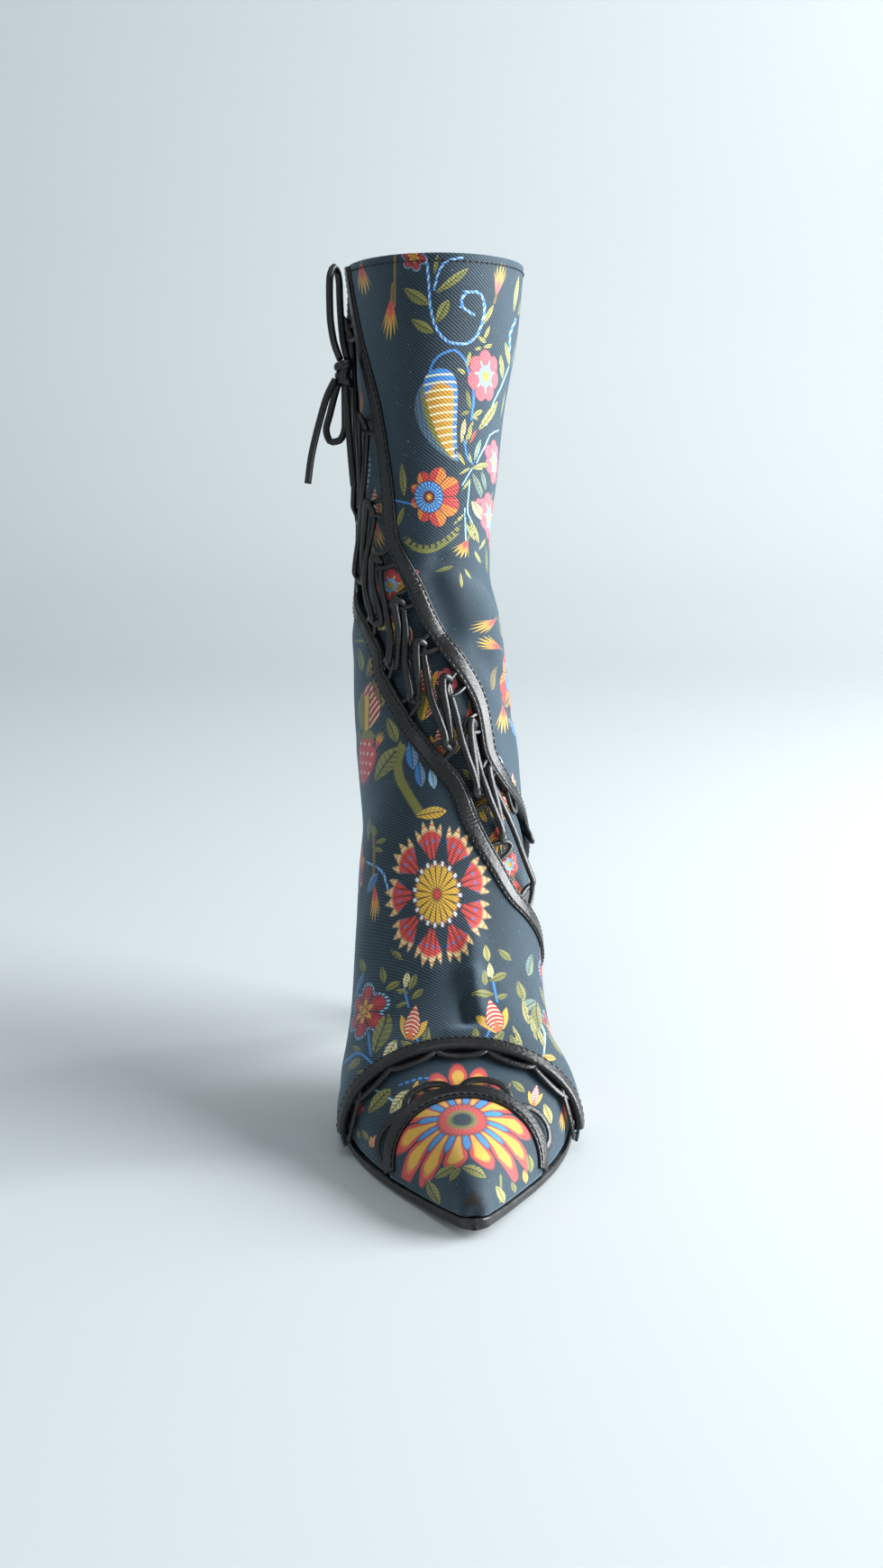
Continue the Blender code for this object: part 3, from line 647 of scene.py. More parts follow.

# %% [markdown]
# ## The bow
# The lace ends in a bow on the outer side: one loop stands up beside the collar, one hangs, and the
# two ends hang past them. Each is a leather cord with its real route and length, measured from the
# knot. The routes are the solids' own, made smooth.

# %% Knot and the four free cords
KNOT_CENTRE = np.array([-38.37, 34.44, 269.96])
CORD_RADIUS = 1.3
BOW_ROUTES = {
    "bow_loop_up": (
        (-1.5, 0.0, 4.45), (-3.8, -1.8, 11.0), (-5.0, -3.5, 20.0), (-5.1, -4.4, 27.5),
        (-5.0, -4.6, 32.0), (-4.3, -3.1, 35.6), (-3.3, -0.9, 37.0), (-2.3, 1.3, 35.6),
        (-1.6, 2.8, 32.0), (-1.5, 2.8, 27.5), (-1.2, 2.1, 20.0), (-0.4, 1.0, 11.0), (1.2, 0.2, 4.5),
    ),
    "bow_loop_down": (
        (-2.2, 2.2, -3.2), (-4.0, 3.4, -9.0), (-5.6, 3.8, -15.0), (-7.0, 3.6, -20.5), (-5.2, 3.2, -25.0),
        (-2.0, 2.8, -24.3), (0.0, 2.5, -19.0), (0.0, 2.3, -12.0), (0.0, 2.3, -3.9),
    ),
    "lace_end_front": (
        (-3.4, -1.2, -2.6), (-6.2, -2.2, -8.0), (-9.4, -2.8, -18.0), (-12.6, -2.8, -31.0),
        (-13.9, -2.6, -40.0),
    ),
    "lace_end_rear": (
        (0.3, -1.2, -4.5), (0.9, -1.6, -13.0), (1.5, -1.6, -22.0), (2.3, -1.4, -33.0), (3.0, -1.2, -41.0),
    ),
}
FAR_ENDS = {"bow_loop_up": "knot", "bow_loop_down": "knot"}
ROUTE_POINTS = 37
TOWARD_VIEWER, UPWARD = np.array([0.0, -1.0, 0.0]), np.array([0.0, 0.0, 1.0])
# The knot is three wraps of the cord, each an oval tilted its own way
KNOT_HALF = (2.5, 2.2, 2.7)
WRAP_TILTS = np.radians([14.0, -30.0, 58.0])[:, None]
WRAP_RISES = np.array([[2.6], [-2.6], [0.0]])
WRAP_RADII = (1.5, 1.8)


def smooth_path(points, count):
    """A curve through points, read at count places evenly spaced along it."""
    points = np.asarray(points, float)
    fine = np.linspace(0, len(points) - 1, 40 * len(points))
    dense = np.stack([smooth(points[:, k], fine) for k in range(3)], axis=-1)
    travelled = distance_along(dense)
    return read_between(np.linspace(0, travelled[-1], count), travelled, dense)


turn = np.linspace(0, FULL_TURN, 40)
wraps = np.stack(
    [
        KNOT_HALF[0] * np.cos(turn) * np.cos(WRAP_TILTS),
        KNOT_HALF[1] * np.sin(turn) + 0.0 * WRAP_TILTS,
        KNOT_HALF[2] * np.cos(turn) * np.sin(WRAP_TILTS) + WRAP_RISES,
    ],
    axis=-1,
)
wrap_points = carry(wraps, np.broadcast_to(UPWARD, wraps.shape), oval(12, *WRAP_RADII))
make_tubes("lace_knot_wraps", wrap_points + KNOT_CENTRE, cord_leather, ["lace_knot"])

for name, route in BOW_ROUTES.items():
    path = smooth_path(np.array(route) + KNOT_CENTRE, ROUTE_POINTS)
    points = carry(path, np.broadcast_to(TOWARD_VIEWER, path.shape), oval(14, CORD_RADIUS, CORD_RADIUS))
    cord = make_tubes(name + "_cord", points, cord_leather, [name])
    length = float(distance_along(path)[-1])
    FAR_ENDS.get(name, "bare")
    print(name, round(length, 1), "mm")

# %% [markdown]
# ## Motifs of the print
# The cloth carries a folk floral of the old crewel kind: fan and ring flowers, buds, feathery
# sprigs, striped leaves and dashed stems on a dark ground. An image could hold it, but the motifs
# here are formulas, so they are sharp at any distance. Each is drawn in a box from -1 to 1, with x
# to its right and y up, and gives a colour and where it covers the ground.

# %% Motif node groups
CORAL, ORANGE, GOLD, OLIVE = hue("d2473f"), hue("dc6a30"), hue("dfae3c"), hue("7f7d3a")
BLUE, SKY, PINK, CREAM = hue("3f82c8"), hue("9fcdee"), hue("e9656c"), hue("f2e6bd")
WINE, BROWN, INK, PALE = hue("8c2426"), hue("86683a"), hue("171d22"), hue("b3ab62")
SAND, STEEL, MIST, CRIMSON = hue("e9d296"), hue("566f86"), hue("93aca2"), hue("b03538")
FOAM, OCHRE, AZURE = hue("a9cbe6"), hue("c8912f"), hue("4a8cc9")
SAGE, PEARL = hue("6f867c"), hue("e4eaee")


def polar(x, y):
    """Distance from the middle, and the angle as a share of a full turn."""
    return (x * x + y * y).root(), y.math("ARCTAN2", x) / FULL_TURN


def fan_flower(x, y, tint):
    """Nine wedges round a disc: their edge is 0.87 less half of the side squared."""
    r, turn = polar(x, y)
    side, tooth, ray = turn.near(9), turn.near(36), turn.near(19)
    edge = side * side * -0.5 + 0.87
    wedge = side.under((r * 0.95 - 0.31).math("MINIMUM", 0.41)) * r.over(0.49)
    disc = r.under(ray * -0.1 + 0.42)
    pearls = turn.near(19, 0.0).under(0.2, 0.05) * abs(r - 0.42).under(0.036, 0.015)
    colour = layered(
        tint,
        (turn.near(45).under(0.17, 0.1) * r.under(0.76, 0.2) * 0.85, INK),
        (tooth.under(0.16, 0.05) * abs(r - 0.72).under(0.022, 0.012), BLUE),
        (r.over(edge), SAND),
        (r.over(edge) * abs(r - edge - 0.07).under(0.012, 0.01), ORANGE),
        (disc, GOLD),
        (disc * ray.over(0.4, 0.05) * r.over(0.09), INK),
        (pearls, PEARL), (r.under(0.09), INK), (r.under(0.065), CORAL),
    )
    fan = wedge * r.under(edge + tooth * -0.3 + 0.14)
    return colour, fan.math("MAXIMUM", disc).math("MAXIMUM", pearls)


def ring_flower(x, y, tint):
    """Eight petals round a ring, longer at one side: 0.93 less 0.9 times the side squared."""
    x = x + 0.22
    r, turn = polar(x, y)
    lean = x / r.math("MAXIMUM", 0.05)
    side, ray = turn.near(8), turn.near(22)
    odd = turn.near(4).under(0.25, 0.004)
    ring = r.under(0.5)
    colour = layered(
        tint,
        (odd, ORANGE),
        (turn.near(48).under(0.13, 0.05) * r.over(0.55), paint(WINE, odd, GOLD)),
        (r.under(0.535), INK), (ring, BLUE),
        (ring * ray.under(0.1, 0.05), SKY),
        (ring * ray.over(0.43, 0.05) * r.under(0.42), INK),
        (r.under(0.21), INK), (r.under(0.17), WINE), (r.under(0.09), GOLD),
    )
    petals = r.under(side * side * -0.9 + lean * 0.27 + 0.93) * side.under(0.475, 0.012)
    return colour, petals.math("MAXIMUM", ring)


def round_flower(x, y, tint):
    """Seven petals round an eye: radius 1 less 0.75 times the side squared."""
    r, turn = polar(x, y)
    side = turn.near(7, 0.25)
    colour = layered(
        tint,
        (side.over(0.46, 0.03) * 0.7, CORAL),
        (side.over(r * 0.5 + 0.15, 0.04) * r.under(0.66), CREAM),
        (r.under(0.45), INK), (r.under(0.42), SKY),
        (turn.near(14).under(0.16, 0.05) * r.under(0.36) * r.over(0.25), BLUE),
        (r.under(0.22), BROWN), (r.under(0.19), GOLD),
    )
    return colour, r.under(side * side * -0.75 + 1.0)


def outlined_flower(x, y, tint):
    """Six petals in a dotted outline: radius 1 less 1.25 times the side squared."""
    r, turn = polar(x, y)
    side, dots = turn.near(6, 0.25), turn.near(48).under(0.27, 0.08)
    rim = side * side * -1.25 + 1.0
    line = r.over(rim - 0.1)
    colour = layered(
        tint,
        (turn.near(42).under(0.16, 0.06) * r.over(0.4) * 0.6, INK),
        (side.under(0.14, 0.06) * r.over(0.5) * 0.5, CORAL),
        (r.under(side * -0.62 + 0.46), GOLD), (r.under(side * -0.5 + 0.28), WINE),
        (r.under(0.1), GOLD), (line, SKY),
    )
    body = r.under(rim - 0.13) * side.under(0.43)
    return colour, r.under(rim) * body.math("MAXIMUM", line * dots)


def wide_daisy(x, y, tint):
    """Thirteen petals with blue between them: radius 1 less 0.95 times the side squared."""
    r, turn = polar(x, y)
    side = turn.near(13)
    rim = side * side * -0.95 + 1.0
    gap = side * -1.0 + 0.5
    tip = gap * gap * -2.6 + 0.69
    colour = layered(
        GOLD,
        (side.over(r * 0.45 - 0.06, 0.03).math("MAXIMUM", r.over(rim - 0.11)), tint),
        (side.over(0.455, 0.02), INK),
        (gap.under(0.27, 0.02) * r.under(tip), INK),
        (gap.under(0.215, 0.02) * r.under(tip - 0.035), AZURE),
        (r.under(0.37), INK), (r.under(0.345), tint),
        (r.under(0.345) * turn.near(30).under(0.1, 0.05) * r.over(0.24) * 0.7, WINE),
        (r.under(0.22), OLIVE), (r.under(0.15), INK),
    )
    return colour, r.under(rim)


def leaf(x, y, tint):
    """A veined leaf: half width 1 less x squared, fuller to the right."""
    half = abs(y)
    colour = layered(
        tint,
        (y.over(0.0, 0.05) * 0.3, PALE),
        ((x - half * 0.3).near(3.6).under(0.12, 0.05) * 0.55, INK),
        (half.under(0.11, 0.04) * x.under(0.8) * 0.75, INK),
    )
    return colour, half.under((x * x * -1.0 + 1.0) * (x * 0.25 + 0.95), 0.05)


def striped_leaf(x, y, tint):
    """A leaf with slanting stripes: half width 1 less x squared, fuller to the right."""
    half = abs(y)
    colour = layered(
        tint,
        ((x + half * 0.35).near(3.4).under(0.2, 0.05), CREAM),
        (half.under(0.09, 0.04) * 0.7, INK),
    )
    return colour, half.under((x * x * -1.0 + 1.0) * (x * 0.3 + 0.9), 0.05)


def bud(x, y, tint):
    """A striped bud between two sepals: half width 1 less y squared, fuller at the foot."""
    width = (y * y * -1.0 + 1.0) * (y * -0.16 + 0.46)
    half = abs(x)
    body = half.under(width)
    colour = layered(
        GOLD,
        (half.under(width + 0.05), INK), (body, tint),
        (body * (y + x * x * 0.9).near(4.3).under(0.17, 0.05), CREAM),
        (half.under(y * -0.3 - 0.05) * body, ORANGE),
    )
    along = (half - 0.5) * 0.5 + (y + 0.35) * 0.87
    aside = (half - 0.5) * 0.87 - (y + 0.35) * 0.5
    sepal = abs(aside).under(along * along * -0.42 + 0.24)
    return colour, body.math("MAXIMUM", sepal)


def feather(x, y, tint):
    """Five strands from a short stalk: the width shrinks evenly with y."""
    across = x / (y * -0.6 + 0.46).math("MAXIMUM", 0.09)
    strand = across.near(2.5)
    tip = strand * 1.5 + abs(across) * 0.45 - 1.0
    colour = layered(
        tint,
        (strand.under(0.1, 0.06) * y.under(0.0), GOLD), (y.under(tip + 0.3, 0.08), GOLD),
        (y.under(-0.86, 0.06), SKY), (y.over(0.5, 0.05), BROWN),
    )
    flame = abs(across).under(1.0) * y.over(tip) * y.under(0.6)
    return colour, flame.math("MAXIMUM", abs(x).under(0.1, 0.04) * y.over(0.5))


def horn(x, y, tint):
    """A striped horn with a crescent beside it: the width is a power of the height."""
    rise = (y * 0.5 + 0.5).math("MAXIMUM", 0.0)
    lean = x - (rise * -1.0 + 1.0).math("POWER", 5.0) * 0.4 - 0.25
    left = lean * -1.0
    width = rise.math("POWER", 0.62) * (rise.math("POWER", 8.0) * -1.0 + 1.0).root() * 0.86
    body = abs(lean).under(width)
    bulge = rise * (rise * -1.0 + 0.88) * 2.9
    colour = layered(
        STEEL,
        (x.near(7.0).under(0.14, 0.06) * 0.5, INK),
        (left.under(width + bulge * 0.36), OLIVE),
        (body, tint),
        (body * (lean - width).over(-0.17), BLUE),
        (body * rise.over(lean * lean * -0.35 + 0.86), BLUE),
        (body * (y + lean * lean * 0.1).near(6.3).under(0.12, 0.05), CREAM),
    )
    moon = left.over(width) * left.under(width + bulge) * rise.under(0.87)
    return colour, body.math("MAXIMUM", moon)


def tulip(x, y, tint):
    """A cup with a slanting seam: half width 1 less y squared, fuller at the foot."""
    seam = x + y * 0.25
    cup = seam.over(0.2).math("MAXIMUM", y.over(0.45))
    colour = layered(
        OLIVE,
        (seam.over(-0.22), GOLD), (cup, tint),
        (cup * (y * 0.8 - x).near(3.4).under(0.14, 0.05), CREAM),
        (abs(abs(seam + 0.01) - 0.21).under(0.03, 0.02), INK),
    )
    return colour, abs(x).under((y * y * -1.0 + 1.0) * (y * -0.2 + 0.9))


def berry(x, y, tint):
    """A spotted circle with eleven slight lobes."""
    r, turn = polar(x, y)
    spot = (x.near(2.6) * x.near(2.6) + y.near(3.0) * y.near(3.0)).root()
    colour = layered(
        tint, (spot.under(0.17, 0.05), CREAM), (r.over(0.84, 0.05), WINE), (y.over(0.66), OLIVE)
    )
    return colour, r.under(turn.near(11) * -0.12 + 1.0)


MOTIFS = (
    fan_flower, ring_flower, round_flower, outlined_flower, wide_daisy, leaf, striped_leaf, bud,
    feather, horn, tulip, berry,
)
KIND = {draw.__name__: number for number, draw in enumerate(MOTIFS, start=1)}
motif_groups = {}
for draw in MOTIFS:
    group, wires, out = new_group(
        draw.__name__, (("X", FLOAT), ("Y", FLOAT), ("Tint", COLOUR)), (("Color", COLOUR), ("Cover", FLOAT))
    )
    colour, cover = draw(*wires)
    feed(group, out.inputs["Color"], colour)
    feed(group, out.inputs["Cover"], cover)
    motif_groups[draw.__name__] = group
print(len(MOTIFS), "motifs,", sum(len(g.nodes) for g in motif_groups.values()), "nodes")

# %% [markdown]
# ## Printed twill
# The cloth's material reads, at each face corner, which motif lies there and the place in its box.
# It lays stems first and motifs over them, then the twill's slanting lines and a little lint. The
# sheen of the cotton is a constant of the shader.

# %% Cloth materials
def attribute(tree, name, output):
    """One output of a mesh attribute."""
    node = tree.nodes.new("ShaderNodeAttribute")
    node.attribute_name = name
    return node.outputs[output]


def split(tree, socket):
    """The three parts of a vector as wires."""
    node = tree.nodes.new("ShaderNodeSeparateXYZ")
    tree.links.new(socket, node.inputs[0])
    return [Wire(tree, output) for output in node.outputs]


TWILL_PITCH = 1.0
YARN_DEPTH = 0.22
TIP = tuple(MM * on_boot(np.float64(TOE_CAP_START), np.float64(0.0), 1.0))


def stem_layer(tree):
    """Where a stem lies and its colour: dashes leave gaps in it, and a twisted one has slanting bars."""
    run, off, dash = split(tree, attribute(tree, "stem_place", "Vector"))
    gap = run.near(0.42).over(0.33, 0.05)
    slip = (run + off * 0.8).near(0.34).over(0.22, 0.06)
    twine = paint(Wire(tree, attribute(tree, "stem_tint", "Color")), slip * dash.over(1.5), BLUE)
    return abs(off).under(1.0, 0.2) * (gap * abs(dash - 1.0).under(0.5) * -1.0 + 1.0), twine


def motif_layers(tree):
    """Where each kind of motif lies, and its colour there."""
    x, y, kind = split(tree, attribute(tree, "print_place", "Vector"))
    tint = Wire(tree, attribute(tree, "print_tint", "Color"))
    for motif, group in motif_groups.items():
        node = tree.nodes.new("ShaderNodeGroup")
        node.node_tree = group
        for label, wire in (("X", x), ("Y", y), ("Tint", tint)):
            feed(tree, node.inputs[label], wire)
        here = kind.math("COMPARE", KIND[motif], 0.3) * Wire(tree, node.outputs["Cover"])
        yield here, Wire(tree, node.outputs["Color"])


def worn_tip(tree):
    """Where the toe tip is chafed: within some millimetres of it, with a ragged edge."""
    reach = tree.nodes.new("ShaderNodeVectorMath")
    reach.operation = "DISTANCE"
    reach.inputs[1].default_value = TIP
    tree.links.new(tree.nodes.new("ShaderNodeTexCoord").outputs["Object"], reach.inputs[0])
    chafe = texture(tree, 420.0, 3.0)
    return (Wire(tree, reach.outputs["Value"]) / MM + chafe * 9.0).under(7.2, 1.2)


def cloth_material(name, dark, light, sheen):
    """Twill with its print: stems, then motifs, then slanting twill lines, lint and a scuffed toe tip."""
    material, tree, shader = new_material(name)
    along, up, twill = split(tree, attribute(tree, "weave", "Vector"))
    slant = (along * 0.62 + up * 0.78) / TWILL_PITCH
    line = (slant.near(1.0) * 2.0 - 0.5) * twill + 0.5
    fade, yarn = texture(tree, 55.0, 3.0), texture(tree, 1900.0, 2.0)
    ground = (line.over(0.5, 0.3) * 0.75 + fade * 0.5 - 0.15).math("MAXIMUM", 0.0)
    colour = layered(hue(dark), (ground, hue(light)), stem_layer(tree), *motif_layers(tree))
    shade = paint((0.72, 0.74, 0.77, 1.0), line.over(0.45, 0.3) * 0.55 + yarn * 0.5, (1.0, 1.0, 1.0, 1.0))
    weave = tree.nodes.new("ShaderNodeMix")
    weave.data_type = "RGBA"
    weave.blend_type = "MULTIPLY"
    weave.inputs[0].default_value = 1.0
    feed(tree, weave.inputs[6], colour)
    feed(tree, weave.inputs[7], shade)
    lint = texture(tree, 1500.0, 1.0).over(0.77, 0.02) * 0.5
    colour = layered(
        Wire(tree, weave.outputs[2]), (lint, hue("b9c2c8")), (worn_tip(tree), hue("1d1511"))
    )
    feed(tree, shader.inputs["Base Color"], colour)
    for label, value in (
        ("Roughness", 0.72), ("Specular IOR Level", 0.4), ("Sheen Weight", sheen),
        ("Sheen Roughness", 0.45), ("Sheen Tint", hue("bfe0f6")),
    ):
        shader.inputs[label].default_value = value
    add_bump(tree, shader, line * 0.8 + yarn * 0.6, 0.9, YARN_DEPTH)
    return material


printed_twill = cloth_material("printed twill", "050d13", "2b4453", 0.5)
lining_cloth = plain_material("lining cloth", "4a4640", 0.9)
print("twill lines", TWILL_PITCH, "mm apart")

# %% [markdown]
# ## Laying out the print
# Each panel of cloth has its motifs charted: the kind, the colour, where its middle falls in
# the picture, its half width and half height there, and its turn. A motif is laid flat on the cloth
# at its middle, so it keeps its shape from every side, where a picture thrown from the camera would
# smear. The sides that the camera can't see get sprays of the same motifs, spaced by millimetres.

# %% Chart of the motifs
LEAF_SHARE = 0.4
BLADE_SHARE = 0.2
TOE_MOTIFS = (("wide_daisy", CORAL, 513, 1243, 77, 48, 0),)
TOE_LEAVES = (
    (493, 1301, 14, -30, OLIVE), (504, 1304, 10, -50, OLIVE), (526, 1299, 15, 22, OLIVE),
    (480, 1323, 16, 62, OLIVE), (588, 1291, 11, 80, OLIVE), (556, 1326, 11, 65, PALE),
    (583, 1306, 8, 80, GOLD), (570, 1318, 7, 70, OLIVE),
)
VAMP_MOTIFS = (
    ("bud", CORAL, 415, 1266, 6, 9, 30), ("feather", CORAL, 626, 1238, 8, 22, 0),
    ("wide_daisy", CORAL, 514, 1240, 62, 55, 0), ("round_flower", CORAL, 394, 1229, 8, 10, 0),
    ("bud", CORAL, 466, 1208, 9, 9, 60), ("feather", CORAL, 561, 1218, 9, 16, 20),
    ("bud", PINK, 594, 1216, 9, 12, 10),
)
VAMP_LEAVES = (
    (420, 1222, 19, -47, OLIVE), (386, 1248, 9, 80, OLIVE), (396, 1258, 7, 70, OLIVE),
    (405, 1260, 7, 60, OLIVE), (481, 1216, 9, 20, GOLD), (540, 1211, 9, -10, GOLD),
    (575, 1206, 10, 40, OLIVE), (608, 1236, 12, 70, PALE), (582, 1233, 9, 30, OLIVE),
)
VAMP_STRIPED = ((443, 1223, 18, -50, PALE),)
LEG_MOTIFS = (
    ("outlined_flower", CRIMSON, 459, 285, 15, 17, 0),
    ("feather", CORAL, 402, 307, 12, 24, -6), ("feather", CORAL, 433, 350, 12, 31, 4),
    ("feather", PINK, 554, 313, 10, 24, 192),
    ("round_flower", PINK, 539, 418, 17, 29, 0), ("horn", OCHRE, 486, 463, 27, 53, -6),
    ("round_flower", PINK, 549, 514, 9, 25, 0), ("round_flower", PINK, 543, 575, 6, 27, 0),
    ("ring_flower", CORAL, 483, 552, 30, 34, 0), ("feather", CORAL, 515, 608, 13, 14, 28),
    ("feather", CORAL, 543, 693, 10, 16, 60), ("feather", CORAL, 547, 716, 11, 17, 110),
    ("feather", CORAL, 559, 795, 12, 22, 0),
    ("bud", CORAL, 393, 672, 5, 15, 0), ("tulip", CRIMSON, 407, 786, 14, 29, 8),
    ("berry", CORAL, 405, 842, 13, 32, 8), ("feather", CORAL, 420, 823, 7, 13, 200),
    ("feather", CORAL, 416, 1000, 8, 27, 0), ("bud", PINK, 569, 869, 6, 11, 0),
    ("fan_flower", CORAL, 485, 993, 60, 82, 0),
    ("outlined_flower", CRIMSON, 404, 1123, 19, 33, 20),
    ("bud", CORAL, 458, 1135, 17, 20, 12), ("bud", CORAL, 548, 1128, 19, 20, -14),
    ("round_flower", PINK, 455, 642, 11, 13, 0), ("feather", CORAL, 438, 770, 9, 16, -20),
)
LEG_LEAVES = (
    (461, 329, 17, 34, OLIVE), (468, 362, 15, 31, OLIVE), (491, 346, 15, -62, OLIVE),
    (535, 377, 6, 40, PALE), (541, 385, 6, -25, PALE), (531, 387, 5, -15, PALE),
    (512, 412, 6, 35, PALE), (530, 459, 7, -35, PALE), (516, 459, 6, -25, OLIVE),
    (527, 463, 5, 45, PALE), (534, 518, 10, -12, PALE), (531, 567, 13, 60, SAND),
    (509, 729, 9, 70, PALE),
    (523, 751, 10, 60, PALE), (535, 779, 9, 50, PALE), (400, 732, 14, 84, OLIVE),
    (415, 737, 19, -60, BROWN), (421, 764, 21, 80, BROWN), (435, 810, 15, 70, OLIVE),
    (427, 849, 24, -55, OLIVE), (478, 903, 18, -10, GOLD), (457, 838, 17, 84, BLUE),
    (466, 859, 15, 84, BLUE), (480, 864, 12, 80, SKY), (542, 835, 12, 84, SKY),
    (555, 850, 12, 84, SKY), (576, 884, 9, 80, PALE), (422, 934, 7, -20, OLIVE),
    (415, 922, 7, -110, OLIVE), (418, 943, 7, 20, OLIVE), (402, 1072, 9, 80, OLIVE),
    (425, 1082, 10, 84, OLIVE), (435, 1095, 10, -30, OLIVE), (423, 1147, 25, -68, OLIVE),
    (395, 1164, 7, 30, OLIVE), (392, 1182, 10, -45, OLIVE), (403, 1191, 8, 10, OLIVE),
    (458, 1091, 10, -65, OLIVE), (446, 1101, 8, 10, OLIVE), (463, 1104, 9, -40, OLIVE),
    (446, 1116, 8, -15, OLIVE), (453, 1161, 11, 30, OLIVE), (473, 1152, 13, 100, OLIVE),
    (553, 1085, 11, -25, OLIVE), (538, 1085, 9, 84, OLIVE), (536, 1103, 11, 10, OLIVE),
    (556, 1107, 8, -20, OLIVE), (540, 1058, 10, 80, PALE), (528, 1149, 10, 84, OLIVE),
    (552, 1154, 12, -50, OLIVE), (571, 1158, 11, 60, OLIVE),
    (596, 1128, 16, 82, OLIVE), (609, 1174, 9, 10, GOLD), (560, 1060, 10, 40, OLIVE),
    (578, 1100, 12, 70, OLIVE), (440, 1060, 9, 40, OLIVE),
)
LEG_BLADES = (
    (502, 312, 24, -37, OLIVE), (484, 294, 12, -80, OLIVE), (573, 327, 21, -82, PALE),
    (542, 350, 13, -62, PALE), (540, 371, 10, -68, PALE), (543, 462, 20, -58, PALE),
    (520, 400, 11, -78, PALE), (520, 443, 12, 80, OLIVE), (557, 407, 14, 86, PALE),
    (564, 393, 14, 82, PALE), (558, 450, 16, -80, PALE), (570, 412, 9, -70, PALE),
    (514, 479, 14, -82, SAND), (521, 481, 14, -72, PALE), (525, 485, 9, -62, CORAL),
    (511, 508, 10, 58, PALE), (522, 509, 7, 78, PALE), (516, 523, 8, -32, PALE),
    (530, 500, 13, -74, MIST), (518, 538, 8, -55, PALE), (522, 590, 12, 62, PALE),
    (527, 590, 14, 70, PALE), (509, 577, 9, -45, PALE), (447, 532, 19, 86, OLIVE),
    (444, 575, 13, -72, OLIVE), (493, 632, 11, -18, OLIVE), (512, 644, 9, 84, PALE),
    (519, 637, 7, 58, PALE), (530, 618, 9, 62, PALE), (536, 604, 8, -60, PALE),
    (583, 1122, 17, 78, PALE), (600, 1150, 14, 68, PALE), (566, 1172, 12, 60, OLIVE),
    (574, 1150, 14, 66, PALE), (592, 1140, 15, 72, PALE),
    (531, 540, 17, 68, SAGE), (537, 533, 12, 78, SAGE),
)
LEG_STRIPED = (
    (402, 695, 11, 60, BROWN), (432, 1168, 16, -60, PALE), (451, 1089, 10, -80, PALE),
    (544, 1078, 10, 84, PALE),
)
GUSSET_MOTIFS = (
    ("feather", CORAL, 401, 447, 12, 24, 0), ("round_flower", CORAL, 433, 650, 18, 18, 0),
    ("bud", CORAL, 473, 751, 14, 22, 0), ("round_flower", PINK, 496, 757, 12, 15, 0),
    ("bud", CORAL, 488, 822, 12, 18, 0), ("bud", GOLD, 503, 821, 12, 16, 0),
    ("feather", CORAL, 541, 889, 12, 20, 30), ("bud", CORAL, 558, 892, 12, 19, 0),
    ("feather", CORAL, 575, 990, 14, 24, -20), ("bud", CORAL, 415, 560, 12, 19, 0),
    ("feather", CORAL, 522, 800, 12, 24, 0), ("tulip", CRIMSON, 474, 780, 12, 22, 20),
    ("feather", CORAL, 552, 930, 14, 24, 10), ("round_flower", CORAL, 566, 960, 12, 16, 0),
    ("tulip", CRIMSON, 440, 700, 14, 22, -30), ("feather", CORAL, 418, 590, 12, 22, 0),
)
GUSSET_LEAVES = (
    (446, 650, 11, -40, GOLD), (457, 663, 9, 60, BLUE), (428, 691, 11, 80, BROWN),
    (496, 809, 9, -30, OLIVE), (405, 500, 12, 80, OLIVE), (520, 860, 10, 40, OLIVE),
    (410, 610, 11, 60, OLIVE), (590, 940, 10, 70, OLIVE), (450, 735, 13, 75, BROWN),
    (499, 786, 9, 10, OLIVE), (423, 692, 20, 15, SAND), (536, 905, 9, 60, GOLD),
)
PLAIN, DASHED, TWISTED = 0.0, 1.0, 2.0
VAMP_STEMS = (
    (SKY, 1.3, PLAIN, ((383, 1212), (400, 1206), (420, 1212), (436, 1222))),
    (BLUE, 1.3, DASHED, ((448, 1203), (470, 1197), (492, 1199), (510, 1208))),
)
TOE_STEMS = (
    (SKY, 1.2, PLAIN, ((472, 1302), (476, 1312), (478, 1322))),
    (OLIVE, 1.2, PLAIN, ((556, 1310), (556, 1330))),
)
